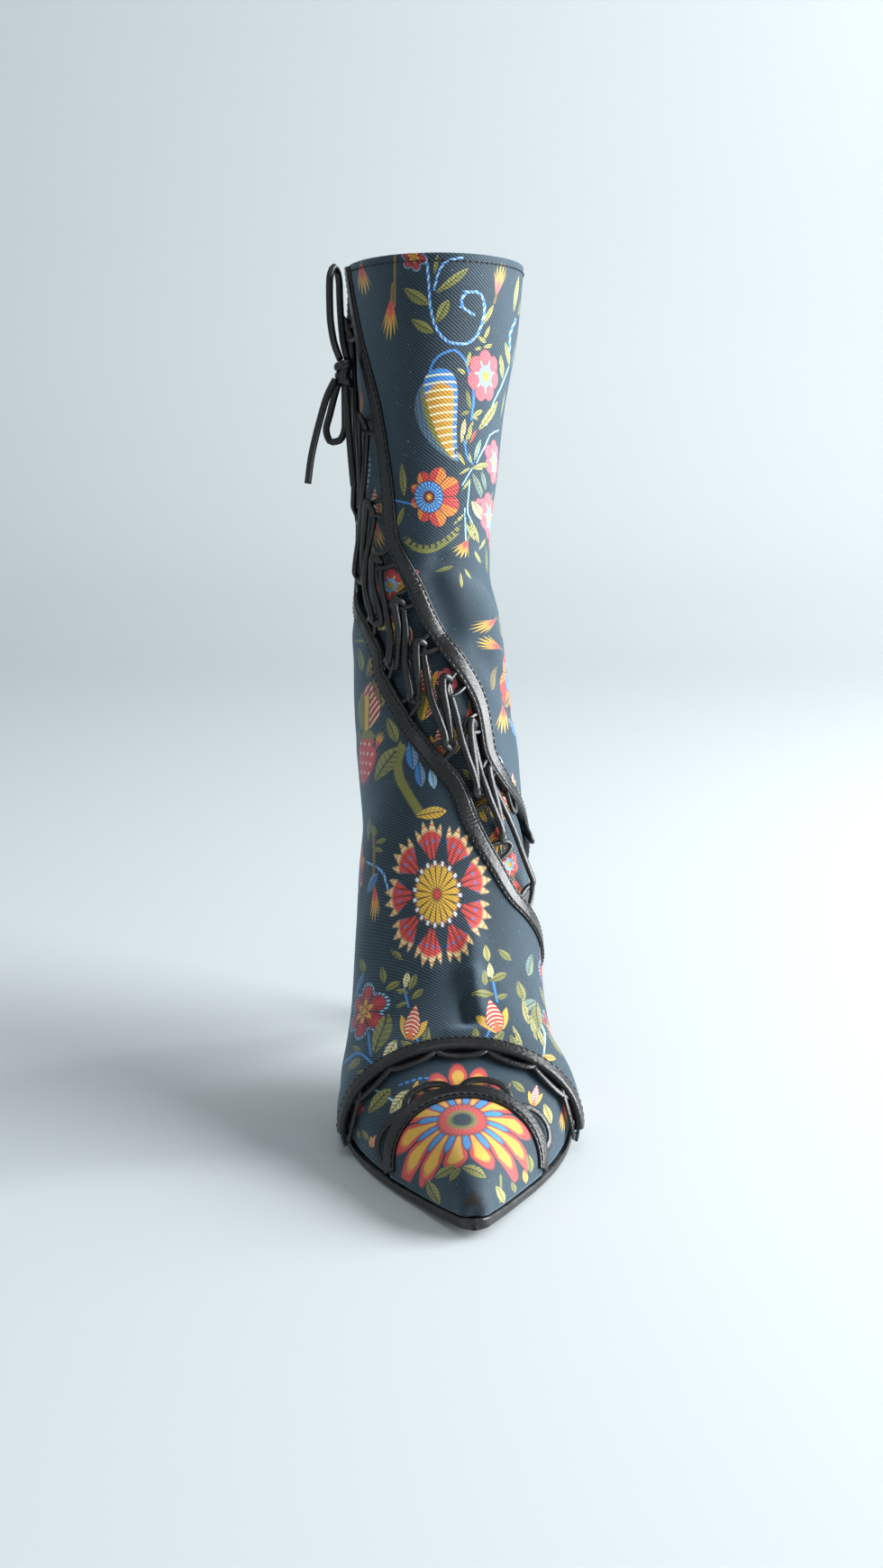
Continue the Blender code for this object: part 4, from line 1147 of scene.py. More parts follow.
LEG_STEMS = (
    (FOAM, 1.5, TWISTED, ((474, 294), (476, 316), (477, 335), (482, 359), (491, 374), (502, 381),
                        (515, 382), (528, 374), (535, 359), (538, 344), (536, 331), (529, 324),
                        (520, 324), (513, 333), (513, 340), (522, 347))),
    (FOAM, 1.3, TWISTED, ((482, 320), (487, 302), (496, 290), (512, 286))),
    (BROWN, 1.2, PLAIN, ((438, 285), (438, 335))),
    (BLUE, 1.3, PLAIN, ((475, 427), (478, 409), (489, 394), (504, 389), (515, 398), (521, 415),
                        (526, 437), (524, 462))),
    (FOAM, 1.1, TWISTED, ((572, 356), (566, 374), (566, 386))),
    (SKY, 0.7, PLAIN, ((563, 412), (556, 430), (547, 449), (541, 468))),
    (BLUE, 1.0, PLAIN, ((525, 430), (526, 446), (524, 460))),
    (SKY, 0.7, PLAIN, ((553, 478), (545, 482), (539, 494), (530, 512))),
    (OLIVE, 2.4, PLAIN, ((452, 602), (462, 610), (474, 612), (487, 608), (498, 600), (508, 591))),
    (OLIVE, 2.2, DASHED, ((451, 598), (462, 606), (474, 608), (486, 604), (497, 597), (508, 587))),
    (SKY, 0.7, PLAIN, ((516, 570), (517, 597))), (BLUE, 1.1, PLAIN, ((440, 556), (458, 560))),
    (SKY, 0.7, PLAIN, ((523, 522), (516, 534))), (SKY, 0.7, PLAIN, ((521, 540), (519, 566), (524, 580))),
    (BLUE, 1.0, PLAIN, ((516, 494), (519, 508), (524, 514))),
    (OLIVE, 1.5, PLAIN, ((395, 712), (408, 711), (421, 718))),
    (OLIVE, 5.0, PLAIN, ((446, 830), (441, 846), (443, 862), (452, 880), (465, 901))),
    (BROWN, 1.3, PLAIN, ((414, 922), (415, 950), (414, 985))),
    (SKY, 1.2, TWISTED, ((407, 957), (424, 968), (430, 985))),
    (BLUE, 1.3, PLAIN, ((409, 1150), (411, 1169))),
    (BLUE, 1.4, PLAIN, ((383, 1179), (397, 1169), (416, 1183))),
    (BLUE, 1.3, PLAIN, ((449, 1100), (453, 1116))), (BLUE, 1.3, PLAIN, ((461, 1150), (469, 1166))),
    (BLUE, 1.3, PLAIN, ((548, 1093), (551, 1108))), (BLUE, 1.3, PLAIN, ((543, 1145), (537, 1158))),
    (SKY, 1.0, PLAIN, ((596, 1128), (605, 1150), (604, 1168))),
)
print(len(LEG_MOTIFS) + len(LEG_LEAVES), "motifs charted on the leg")

# %% [markdown]
# A decal is a middle, a normal and two vectors: the offset of a place from the middle, times each
# vector, gives the place in the motif's box. Each face takes the decal in whose box it lies deepest.

# %% Decals
Decal = namedtuple("Decal", "kind tint middle normal across up start")
FACE_REACH = 1.3
STEM_STEP = 5.0
STEM_SHARE = 0.55  # half a stem decal's length over its step, so that neighbours overlap
PIXELS_PER_MM = 3.05
MOST_STRETCH = 2.2
LEAST_FACING = 0.05  # cosine to the camera, below which a place counts as hidden
LEAST_AGREEMENT = 0.3  # cosine between a face and a decal that it can take
MOST_BULGE = 22.0  # how far off a decal's plane its faces can lie
HIDDEN, OUT_OF_REACH, OFF_STEM = 1e6, 1e3, 9.0
FLOWERS = {"fan_flower", "ring_flower", "round_flower", "outlined_flower", "tulip", "berry"}
FLOWER_ROUNDNESS, LEAF_ROUNDNESS = 1.2, 0.45
SPRAY_FLOWERS = (
    ("round_flower", PINK), ("ring_flower", CORAL), ("outlined_flower", WINE), ("fan_flower", CORAL)
)
SPRAY_SIZE, SPRAY_GROWTH, SPRAY_REACH = 8.0, 1.5, 1.75
SPRAY_LEAF = (5.5, 2.2)
SPRAY_LEAF_TINTS = (OLIVE, SAGE, OLIVE, BROWN, BLUE)


def leaf_rows(rows, kind, share=LEAF_SHARE):
    """Chart rows of leaves as rows of motifs: the half width is a share of the half length."""
    return tuple((kind, tint, x, y, half, half * share, turn) for x, y, half, turn, tint in rows)


def least_scale(vector, own, other):
    """How much shorter a motif has to be, where the slope of the cloth would draw it out too long."""
    longest = max(MOST_STRETCH * own, other) / PIXELS_PER_MM
    return 1 / (longest * np.linalg.norm(vector))


def picture_decal(row, points, normals, places, start=0.0):
    """A charted motif laid on the surface: the picture's offsets, taken back through the slope there."""
    kind, tint, x, y, half_x, half_y, turn = row
    facing = np.sum(normals * unit(EYE - points), axis=-1) > LEAST_FACING
    miss = np.sum((places - (x, y)) ** 2, axis=-1) + np.where(facing, 0.0, HIDDEN)
    nearest = int(np.argmin(miss))
    normal = normals[nearest]
    side = unit(RIGHT - normal * (normal @ RIGHT))
    rise = np.cross(normal, side)
    both = np.stack([side, rise])
    slope = (picture_place(points[nearest] + both / 2) - picture_place(points[nearest] - both / 2)).T
    middle = points[nearest] + np.linalg.solve(slope, np.array([x, y]) - places[nearest]) @ both
    angle = math.radians(turn)
    cosine, sine = math.cos(angle), math.sin(angle)
    box = np.array([[cosine / half_x, sine / half_x], [sine / half_y, -cosine / half_y]])
    across, up = box @ slope @ both
    if kind in KIND:
        round_share = FLOWER_ROUNDNESS if kind in FLOWERS else LEAF_ROUNDNESS
        across = across * max(1.0, least_scale(across, half_x, half_y * round_share))
        up = up * max(1.0, least_scale(up, half_y, half_x * round_share))
    return Decal(KIND.get(kind, kind), tint, middle, normal, across, up, start)


def stem_decals(stems, points, normals, places):
    """Stems as short straight decals along a smooth line, each knowing how far along it starts."""
    decals = []
    for tint, half, dash, line in stems:
        line = np.array([(x, y, 0.0) for x, y in line])
        span = float(np.linalg.norm(np.diff(line, axis=0), axis=-1).sum())
        path = smooth_path(line, max(2, round(span / STEM_STEP)) + 1)[:, :2]
        for number, (a, b) in enumerate(zip(path[:-1], path[1:])):
            step = b - a
            length = float(np.linalg.norm(step))
            angle = math.degrees(math.atan2(step[1], step[0]))
            row = (dash, tint, *((a + b) / 2), length * STEM_SHARE, half, angle)
            decals.append(picture_decal(row, points, normals, places, number + 0.5))
    return decals


def spray_decals(u, t, number):
    """A spray for the hidden sides: a flower with leaves round it, sized in millimetres."""
    kind, tint = SPRAY_FLOWERS[number % len(SPRAY_FLOWERS)]
    middle = on_boot(u, t, LEG_STEP)
    normal = outward(u, t)
    side = unit(tangents(u, t)[1])
    rise = np.cross(normal, side)
    size = SPRAY_SIZE + SPRAY_GROWTH * (number % 3)
    away = size * SPRAY_REACH
    parts = [(kind, tint, 0.0, 0.0, size, size * 1.1, 25.0 * number)]
    for leaf_number in range(len(SPRAY_LEAF_TINTS)):
        angle = math.radians(72 * leaf_number + 31 * number)
        shade = SPRAY_LEAF_TINTS[(leaf_number + number) % len(SPRAY_LEAF_TINTS)]
        turn = math.degrees(angle) + 60
        parts.append(("leaf", shade, away * math.cos(angle), away * math.sin(angle), *SPRAY_LEAF, turn))
    decals = []
    for kind, tint, x, y, half_x, half_y, turn in parts:
        cosine, sine = math.cos(math.radians(turn)), math.sin(math.radians(turn))
        across = (side * cosine + rise * sine) / half_x
        up = (rise * cosine - side * sine) / half_y
        decals.append(Decal(KIND[kind], tint, middle + side * x + rise * y, normal, across, up, 0.0))
    return decals


def lay_decals(piece, points, faces, decals, names, stem=False):
    """Write each face's decal to its corners: the place in the box, the kind and the colour."""
    kinds, tints, middles, normals, across, up, starts = (np.array(field) for field in zip(*decals))
    corners = points[faces]
    centres = corners.mean(axis=1)
    face_normals = unit(np.cross(corners[:, 2] - corners[:, 0], corners[:, 3] - corners[:, 1]))
    x = centres @ across.T - np.sum(middles * across, axis=-1)
    y = centres @ up.T - np.sum(middles * up, axis=-1)
    reach = np.maximum(np.abs(x), np.abs(y)) if stem else np.hypot(x, y)
    past_x = (np.abs(x) - 1) / np.linalg.norm(across, axis=-1)
    past_y = (np.abs(y) - 1) / np.linalg.norm(up, axis=-1)
    depth = np.where(reach < 1, reach - 1, np.maximum(np.maximum(past_x, past_y), 0.0))
    bulge = np.abs(centres @ normals.T - np.sum(middles * normals, axis=-1))
    wrong = (face_normals @ normals.T < LEAST_AGREEMENT) | (bulge > MOST_BULGE)
    depth = np.where(wrong, OUT_OF_REACH, depth)
    best = np.argmin(depth, axis=-1)
    taken = depth[np.arange(len(faces)), best] < FACE_REACH
    offset = corners - middles[best][:, None]
    local_x = np.sum(offset * across[best][:, None], axis=-1)
    local_y = np.sum(offset * up[best][:, None], axis=-1)
    if stem:
        step = 1 / STEM_SHARE / np.linalg.norm(across[best], axis=-1)[:, None]
        local_x = starts[best][:, None] * step + local_x * step * STEM_SHARE
        local_y = np.where(taken[:, None], local_y, OFF_STEM)
    kind = np.broadcast_to(np.where(taken, kinds[best], 0.0)[:, None], local_x.shape)
    place = np.stack([local_x, local_y, kind], axis=-1)
    piece.data.attributes.new(names[0], "FLOAT_VECTOR", "CORNER").data.foreach_set("vector", place.ravel())
    colours = np.repeat(tints[best], 4, axis=0)
    piece.data.attributes.new(names[1], "FLOAT_COLOR", "CORNER").data.foreach_set("color", colours.ravel())
    return int(taken.sum())


print("decals reach", FACE_REACH, "mm past their box")

# %% [markdown]
# ## The cloth panels
# A maker cuts a toe cap, a vamp and a leg. Each is a grid over its part of the last, with rows 1.3 to
# 1.7 mm apart so that folds and print stay smooth, and a wall added inwards. The leg's
# faces that fall in the lacing gap are left out; the facings cover that edge. At the collar the leg
# rolls over and down inside, as a hem does. A lining closes the inside.

# %% Toe cap, vamp, leg and lining
TOE_STEP, LEG_ROW_STEP, LINING_STEP = 1.3, 1.7, 3.0
TOE_COLUMNS, VAMP_COLUMNS, LEG_COLUMNS, LINING_COLUMNS = 61, 85, 111, 81
TIP_END, TIP_ROWS = 0.5, 8
TUCK_FRONT, TUCK_REAR = 0.15, 0.5  # sections of vamp under the toe cap and under the leg
HEM_RADIUS = 0.8
HEM_TURNS = (2.0, 7.0)
CLOTH_WALL, VAMP_WALL = 1.0, 1.4
LINING_START, LINING_DROP = 0.35, 0.06
LINING_LIFT, LINING_EASE = -1.75, 1.3
EASE_START, EASE_SECTIONS = 5.8, 1.7
SPRAY_ROWS, SPRAY_COLUMNS = np.linspace(8.0, 24.2, 12), np.linspace(-0.95, 0.92, 8)
SPRAY_SHIFT, SPRAY_FACING, SPRAY_LIMIT = 0.1, 0.12, 0.97
ROUND_SAMPLES = np.array([-0.6, 0.0, 0.6])
ROW_SAMPLES = 1200


def even_rows(start, end, step):
    """Section numbers spaced so that the rows lie about step millimetres apart."""
    fine = np.linspace(start, end, ROW_SAMPLES)
    line = last_point(fine[:, None], ROUND_SAMPLES)
    travelled = np.linalg.norm(np.diff(line, axis=0), axis=-1).mean(axis=-1)
    travelled = np.concatenate([[0], np.cumsum(travelled)])
    count = int(travelled[-1] / step) + 2
    return np.interp(np.linspace(0, travelled[-1], count), travelled, fine)


def arc_lengths(grid):
    """The weave's coordinates: millimetres round each row from its middle, and along the middle column."""
    steps = np.linalg.norm(np.diff(grid, axis=1), axis=-1)
    round_row = np.concatenate([np.zeros((len(grid), 1)), np.cumsum(steps, axis=1)], axis=1)
    centre = grid.shape[1] // 2
    round_row = round_row - round_row[:, centre : centre + 1]
    steps = np.linalg.norm(np.diff(grid, axis=0), axis=-1).mean(axis=1)
    along = np.concatenate([[0], np.cumsum(steps)])
    return np.stack([round_row, along[:, None] + 0 * round_row, 0 * round_row], axis=-1)


def surface_normals(grid):
    """A grid's normals: the cross product of its steps round and along."""
    return unit(np.cross(np.gradient(grid, axis=1), np.gradient(grid, axis=0)))


def outside_gap(rows, columns):
    """True for the faces of a grid whose middles lie outside the lacing gap."""
    face_u = (rows[1:] + rows[:-1]) / 2 + 0 * columns[1:]
    face_t = (columns[1:] + columns[:-1]) / 2 + 0 * rows[1:]
    return ~in_gap(face_u, face_t)


def cloth_panel(name, grid, keep, rows, stems, sprays, nodes, twill=1.0):
    """A panel from a grid of places, with its print and its weave; twill is how plain its lines are."""
    faces = grid_faces(*grid.shape[:2])
    faces = faces[keep.ravel()] if keep is not None else faces
    points = grid.reshape(-1, 3)
    normals = surface_normals(grid).reshape(-1, 3)
    places = picture_place(points)
    piece = make_piece(name, points, faces, printed_twill, nodes)
    decals = [picture_decal(row, points, normals, places) for row in rows] + sprays
    covered = lay_decals(piece, points, faces, decals, ("print_place", "print_tint"))
    stem_list = stem_decals(stems, points, normals, places)
    lay_decals(piece, points, faces, stem_list, ("stem_place", "stem_tint"), stem=True)
    weave = arc_lengths(grid) + (0.0, 0.0, twill)
    piece.data.attributes.new("weave", "FLOAT_VECTOR", "POINT").data.foreach_set("vector", weave.ravel())
    print(name, len(faces), "faces,", covered, "printed")
    return piece


round_toe = np.linspace(-1, 1, TOE_COLUMNS)
tip_rows = np.linspace(0.0, TIP_END, TIP_ROWS)[:-1]
toe_rows = np.concatenate([tip_rows, even_rows(TIP_END, TOE_BAND, TOE_STEP)])[:, None]
toe_grid = on_boot(toe_rows, round_toe, cap_lift(toe_rows) + 0 * round_toe)
toe_cap = cloth_panel(
    "toe_cap_cloth", toe_grid, None, TOE_MOTIFS + leaf_rows(TOE_LEAVES, "leaf"), TOE_STEMS, [], ["upper"],
    twill=0.12,
)

round_vamp = np.linspace(-1, 1, VAMP_COLUMNS)
vamp_rows = even_rows(TOE_BAND - TUCK_FRONT, VAMP_BAND + TUCK_REAR, TOE_STEP)[:, None]
vamp_grid = on_boot(vamp_rows, round_vamp, 0.0 * vamp_rows + 0.0 * round_vamp)
vamp = cloth_panel(
    "vamp_cloth", vamp_grid, None,
    VAMP_MOTIFS + leaf_rows(VAMP_LEAVES, "leaf") + leaf_rows(VAMP_STRIPED, "striped_leaf"),
    VAMP_STEMS, [], ["upper"], twill=0.4,
)

round_leg = np.linspace(-1, 1, LEG_COLUMNS)
leg_rows = even_rows(HEM, COLLAR, LEG_ROW_STEP)[:, None]
leg_grid = on_boot(leg_rows, round_leg, leg_lift(leg_rows, round_leg))
leg_keep = outside_gap(leg_rows, round_leg)
collar_up = unit(tangents(COLLAR, round_leg)[0])
collar_out = outward(COLLAR, round_leg)
roll = np.linspace(0, math.pi, 9)[1:, None, None]
hem = leg_grid[-1] + HEM_RADIUS * (np.sin(roll) * collar_up - (1 - np.cos(roll)) * collar_out)
inside = hem[-1] - collar_up * np.array(HEM_TURNS)[:, None, None]
leg_grid = np.concatenate([leg_grid, hem, inside])
leg_keep = np.concatenate([leg_keep, np.repeat(leg_keep[-1:], len(hem) + len(inside), axis=0)])
sprays = []
for row, u in enumerate(SPRAY_ROWS):
    for column, t in enumerate(SPRAY_COLUMNS + SPRAY_SHIFT * (row % 2)):
        seen = outward(u, t) @ unit(EYE - last_point(u, t))
        if seen < SPRAY_FACING and not in_gap(np.array(u), np.array(t)):
            sprays += spray_decals(u, min(t, SPRAY_LIMIT), row * len(SPRAY_COLUMNS) + column)
leg = cloth_panel(
    "leg_cloth", leg_grid, leg_keep,
    LEG_MOTIFS + leaf_rows(LEG_LEAVES, "leaf") + leaf_rows(LEG_STRIPED, "striped_leaf")
    + leaf_rows(LEG_BLADES, "leaf", BLADE_SHARE),
    LEG_STEMS, sprays, ["upper"],
)
for piece, wall in ((toe_cap, CLOTH_WALL), (vamp, VAMP_WALL), (leg, CLOTH_WALL)):
    weld(piece, closed=False)
    add_wall(piece, wall)

lining_rows = even_rows(LINING_START, COLLAR - LINING_DROP, LINING_STEP)[:, None]
round_lining = np.linspace(-1, 1, LINING_COLUMNS)
ease = np.clip((lining_rows - EASE_START) / EASE_SECTIONS, 0, 1)
lining_grid = on_boot(lining_rows, round_lining, LINING_LIFT + LINING_EASE * ease + 0 * round_lining)
lining_faces = grid_faces(*lining_grid.shape[:2])[outside_gap(lining_rows, round_lining).ravel()]
lining = make_piece("lining", lining_grid, lining_faces, lining_cloth, ["upper"])
weld(lining, closed=False)

# %% [markdown]
# ## The gusset
# Behind the lacing lies a bellows of the same twill, cut from another place on the cloth. It spans
# the gap a little under the leg, and the lace pulls it into shallow puckers.

# %% Gusset behind the lacing
GUSSET_LIFT = -0.9
SOLE_SIDE = 0.995
GUSSET_TOP, GUSSET_LOW, GUSSET_OVERLAP = 0.15, 15.85, 0.32
GUSSET_ROWS, GUSSET_COLUMNS, SOLE_ROWS_BELOW = 240, 31, 8
PUCKER_DEPTH, PUCKER_RATE, PUCKER_SLANT = 0.35, 9.4, 2.0
RISE_TO_SOLE = 1.5
GUSSET_WALL = 0.8
GUSSET_STEMS = ((SKY, 1.3, DASHED, ((405, 470), (410, 520), (402, 560))),)
gusset_stations = np.linspace(GUSSET_TOP, GUSSET_LOW, GUSSET_ROWS)[:, None]
gusset_shares = np.linspace(-GUSSET_OVERLAP, 1 + GUSSET_OVERLAP, GUSSET_COLUMNS)
gusset_u, gusset_t = across_gap(gusset_stations, gusset_shares)
to_sole = np.linspace(0, 1, SOLE_ROWS_BELOW + 1)[1:, None]
gusset_t = np.concatenate([gusset_t, gusset_t[-1] + (SOLE_SIDE - gusset_t[-1]) * to_sole])
gusset_u = np.concatenate([gusset_u, np.repeat(gusset_u[-1:], len(to_sole), axis=0)])
gusset_stations = np.concatenate([gusset_stations, GUSSET_LOW + 0 * to_sole])
gusset_t = np.clip(gusset_t, -SOLE_SIDE, SOLE_SIDE)
middle_share = np.clip(1 - (2 * gusset_shares - 1) ** 2, 0, 1)
wave = np.sin(gusset_stations * PUCKER_RATE + PUCKER_SLANT * gusset_shares)
pucker = PUCKER_DEPTH * wave * middle_share
rise_to_sole = np.concatenate([np.zeros((GUSSET_ROWS, 1)), RISE_TO_SOLE * to_sole])
gusset_grid = on_boot(gusset_u, gusset_t, GUSSET_LIFT + pucker + rise_to_sole)
gusset = cloth_panel(
    "gusset_cloth", gusset_grid[::-1], None, GUSSET_MOTIFS + leaf_rows(GUSSET_LEAVES, "leaf"),
    GUSSET_STEMS, [], ["lacing_gusset"],
)
add_wall(gusset, GUSSET_WALL)

# %% [markdown]
# ## Leather bands
# Bands of black leather bind the gap and the edges of the overlays. Each is one closed profile: a
# flange on the cloth with two stitched grooves and a lip that turns over the edge. The profile is
# carried along the edge on the last's own surface, so the band follows every bend and fold.

# %% Facings, toe band and vamp band
BAND_WIDTH = 4.6
BAND_THICKNESS = 1.3
BAND_BASE = 0.15
LIP_REACH = 2.05
LIP_DEPTH = 1.7
BAND_LOW = 15.88
BAND_ENDS = {"toe_band": 0.965, "vamp_band": 0.915}
FACING_GROOVES = (-3.7, 0.8)
CROSS_WIDTH = 3.6
CROSS_GROOVES = (-2.7,)
GROOVE_DEPTH, GROOVE_HALF = 0.45, 0.32
FACING_POINTS, CROSS_POINTS, TOP_POINTS = 800, 240, 30
WRINKLE_DEPTH, WRINKLE_REACH = 0.2, 2.8
TOP_LEVEL = 0.8  # only the profile's points above this are wrinkled
WRINKLED = {"facing_front": ((463, 650),), "facing_rear": ((398, 690), (458, 811), (519, 912))}


def band_profile(width, grooves):
    """A closed profile: a pillowed top with sewn grooves, the lip's turn, and the underside."""
    top = np.linspace(-width, LIP_REACH, TOP_POINTS)
    half = (LIP_REACH + width) / 2
    pillow = (1 - np.abs((top - (LIP_REACH - width) / 2) / half) ** 5) ** 0.5
    rise = BAND_BASE + BAND_THICKNESS * pillow
    rise = rise - sum(GROOVE_DEPTH * np.exp(-(((top - place) / GROOVE_HALF) ** 2)) for place in grooves)
    turn = np.array([LIP_REACH, LIP_REACH - 0.25, LIP_REACH - 0.8, 0.8, 0.6, -width / 2])
    fall = np.array([-LIP_DEPTH * 0.5, -LIP_DEPTH * 0.9, -LIP_DEPTH, -LIP_DEPTH * 0.8, -0.1, 0.08])
    return np.stack([np.concatenate([top, turn]), np.concatenate([rise, fall])], axis=-1)


def edge_directions(u, t, aim):
    """Along the edge, and across it on the surface towards the side that aim points to."""
    along = unit(np.gradient(last_point(u, t), axis=0))
    across = np.cross(outward(u, t), along)
    return along, unit(across) * np.sign(np.sum(across * aim))


def band_points(u, t, across, ground, ripple, profile):
    """The band's profile carried along an edge: moved across on the surface, then lifted off it."""
    amount = profile[:, 0]
    move = across[:, None, :] * amount[:, None]
    new_u, new_t = beside(u[:, None], t[:, None], move)
    new_t = np.clip(new_t, -1, 1)
    base = np.where(amount > 0, ground(u, t)[:, None], ground(new_u, new_t))
    lift = base + profile[:, 1] + ripple[:, None] * (profile[:, 1] > TOP_LEVEL)
    return on_boot(new_u, new_t, lift)


stations = np.linspace(0.0, BAND_LOW, FACING_POINTS)
edges = {}
for name, side, other in (("facing_front", FRONT, REAR), ("facing_rear", REAR, FRONT)):
    u, t = gap_edge(side, stations)
    aim = last_point(*gap_edge(other, stations)) - last_point(u, t)
    along, across = edge_directions(u, t, aim)
    edges[name] = (u, t, along, across, leg_lift)
for name, section, way, ground in (
    ("toe_band", TOE_BAND, 1.0, lambda u, t: cap_lift(u) + 0 * t),
    ("vamp_band", HEM, -1.0, leg_lift),
):
    t = np.linspace(-1, 1, CROSS_POINTS) * BAND_ENDS[name]
    u = np.full_like(t, section)
    along, across = edge_directions(u, t, tangents(u, t)[0] * way)
    edges[name] = (u, t, along, across, ground)

for name, (u, t, along, across, ground) in edges.items():
    line = last_point(u, t)
    travelled = distance_along(line)
    strength = np.zeros_like(travelled)
    for place in WRINKLED.get(name, ()):
        nearest = np.argmin(np.linalg.norm(picture_place(line) - place, axis=-1))
        away = (travelled - travelled[nearest]) / WRINKLE_REACH
        strength = strength + WRINKLE_DEPTH * np.exp(-(away**2))
    ripple = strength * np.sin(travelled / 0.22 + 0.8 * np.sin(travelled / 2.9))
    wide = name in WRINKLED
    profile = band_profile(*((BAND_WIDTH, FACING_GROOVES) if wide else (CROSS_WIDTH, CROSS_GROOVES)))
    points = band_points(u, t, across, ground, ripple, profile)
    make_tubes(name + "_leather", points, leather, [name])
    print(name, round(travelled[-1]), "mm long")

# %% [markdown]
# ## Loops
# Thin rolled loops stand in the gap for the lace, eleven on each facing, and wider flat half rings
# trim the toe and vamp bands. All are one shape, half a ring drawn out across the edge, so they are
# worked out together: cosine along the edge, sine away from it.

# %% Lace loops and trim loops
LOOP_STATIONS = np.linspace(0.8, 14.2, 11)
LOOP_SIZE = (3.2, 8.8)
TRIM_SIZES = {"toe_band": (7.9, 6.2), "vamp_band": (8.4, 4.3)}
TOE_LOOPS = np.array([-0.72, -0.27, 0.16, 0.62])
VAMP_LOOPS = np.array([-0.79, -0.53, -0.265, 0.0, 0.265, 0.53, 0.79])
LOOP_ROOT, LOOP_TIP = 0.5, 2.8
TRIM_ROOT, TRIM_ROOT_MOST, TRIM_TIP = 0.4, 3.0, 2.0
RING_POINTS, RING_SINK = 27, 0.12  # the ring's ends run this angle past the edge


def ring_points(u, t, along, across, size, lifts, profile):
    """Half rings at places (u, t): along the edge by cosine, away by sine, lifted from root to tip."""
    angle = np.linspace(-RING_SINK, math.pi + RING_SINK, RING_POINTS)
    ahead, away = size[0] * np.cos(angle), size[1] * np.sin(angle)
    move = along[:, None, :] * ahead[:, None] + across[:, None, :] * away[:, None]
    new_u, new_t = beside(u[:, None], t[:, None], move)
    lift = lifts[0][:, None] + (lifts[1] - lifts[0])[:, None] * np.clip(np.sin(angle), 0, 1)
    new_t = np.clip(new_t, -SOLE_SIDE, SOLE_SIDE)
    paths = on_boot(new_u, new_t, lift)
    return carry(paths, outward(new_u, new_t), profile)


def along_edge(name, at, key):
    """An edge's place and directions, read between its points where key equals at."""
    u, t, along, across, _ = edges[name]
    directions = unit(read_between(at, key, along)), unit(read_between(at, key, across))
    return np.interp(at, key, u), np.interp(at, key, t), *directions


for name in ("facing_front", "facing_rear"):
    u, t, along, across = along_edge(name, LOOP_STATIONS, stations)
    lifts = (np.full_like(u, LOOP_ROOT), np.full_like(u, LOOP_TIP))
    points = ring_points(u, t, along, across, LOOP_SIZE, lifts, oval(10, 1.0, 0.95))
    make_tubes(name + "_loops", points, cord_leather, [name], welded=False)
for name, places in (("toe_band", TOE_LOOPS), ("vamp_band", VAMP_LOOPS)):
    u, t, along, across = along_edge(name, places, edges[name][1])
    root = edges[name][4](u, t)
    lifts = (np.minimum(root + TRIM_ROOT, TRIM_ROOT_MOST), np.full_like(u, TRIM_TIP))
    points = ring_points(u, t, along, across, TRIM_SIZES[name], lifts, oval(12, 1.45, 0.65))
    make_tubes(name + "_loops", points, leather, [name], welded=False)
print(2 * len(LOOP_STATIONS), "lace loops,", len(TOE_LOOPS) + len(VAMP_LOOPS), "trim loops")

# %% [markdown]
# ## The lace
# One leather cord zigzags down the gap: it climbs to a front loop, turns through it, and drops
# steeply to a rear loop lower down, so two strands hang from each front loop and none cross. A rope
# simulation isn't needed, because the loops say where it goes. It comes to a loop over its bar and
# leaves under it.

# %% Lace zigzag
TURN = 0.14
NEAR_REAR, NEAR_FRONT = 0.27, 0.73
APEX = 0.05
OVER, MIDDLE, BENEATH = 4.3, 3.0, 1.7
CLIMB_LIFT = 3.2
DROP_LIFTS = ((0.25, 2.6), (0.5, 3.2), (0.75, 3.7))
POINTS_PER_STEP = 9
front_at = LOOP_STATIONS[:9]
rear_at = LOOP_STATIONS[2:]
first = LOOP_STATIONS[1]
route = [(first + TURN, NEAR_REAR, BENEATH)]
for front, rear in zip(front_at, rear_at):
    start = route[-1][0]
    route += [
        ((start + front) / 2, 0.5, CLIMB_LIFT),
        (front - TURN, NEAR_FRONT, OVER),
        (front, NEAR_FRONT + APEX, MIDDLE),
        (front + TURN, NEAR_FRONT, BENEATH),
    ]
    low = rear - TURN
    route += [
        (front + TURN + (low - front - TURN) * share, NEAR_FRONT + (NEAR_REAR - NEAR_FRONT) * share, lift)
        for share, lift in DROP_LIFTS
    ]
    route += [(low, NEAR_REAR, OVER), (rear, NEAR_REAR - APEX, MIDDLE), (rear + TURN, NEAR_REAR, BENEATH)]
route = np.array(route)
fine = np.linspace(0, len(route) - 1, POINTS_PER_STEP * len(route))
lace_station, lace_share, lace_lift = (smooth(route[:, k], fine) for k in range(3))
lace_u, lace_t = across_gap(lace_station, lace_share)
lace_line = on_boot(lace_u, lace_t, lace_lift)
lace_points = carry(lace_line, outward(lace_u, lace_t), oval(12, 1.45, 1.1))
make_tubes("lace_zigzag", lace_points, cord_leather, ["lace_crossings"])
print("lace in the gap:", round(float(distance_along(lace_line)[-1])), "mm")

# %% [markdown]
# ## Sole and heel
# The sole is a board of leather cut a little wider than the upper, with rounded edges: a squarish
# oval carried along the sole line from toe to heel seat. The heel is a stack of ovals that grows
# from its small tip to the seat. Its top ring follows the seat's slope.

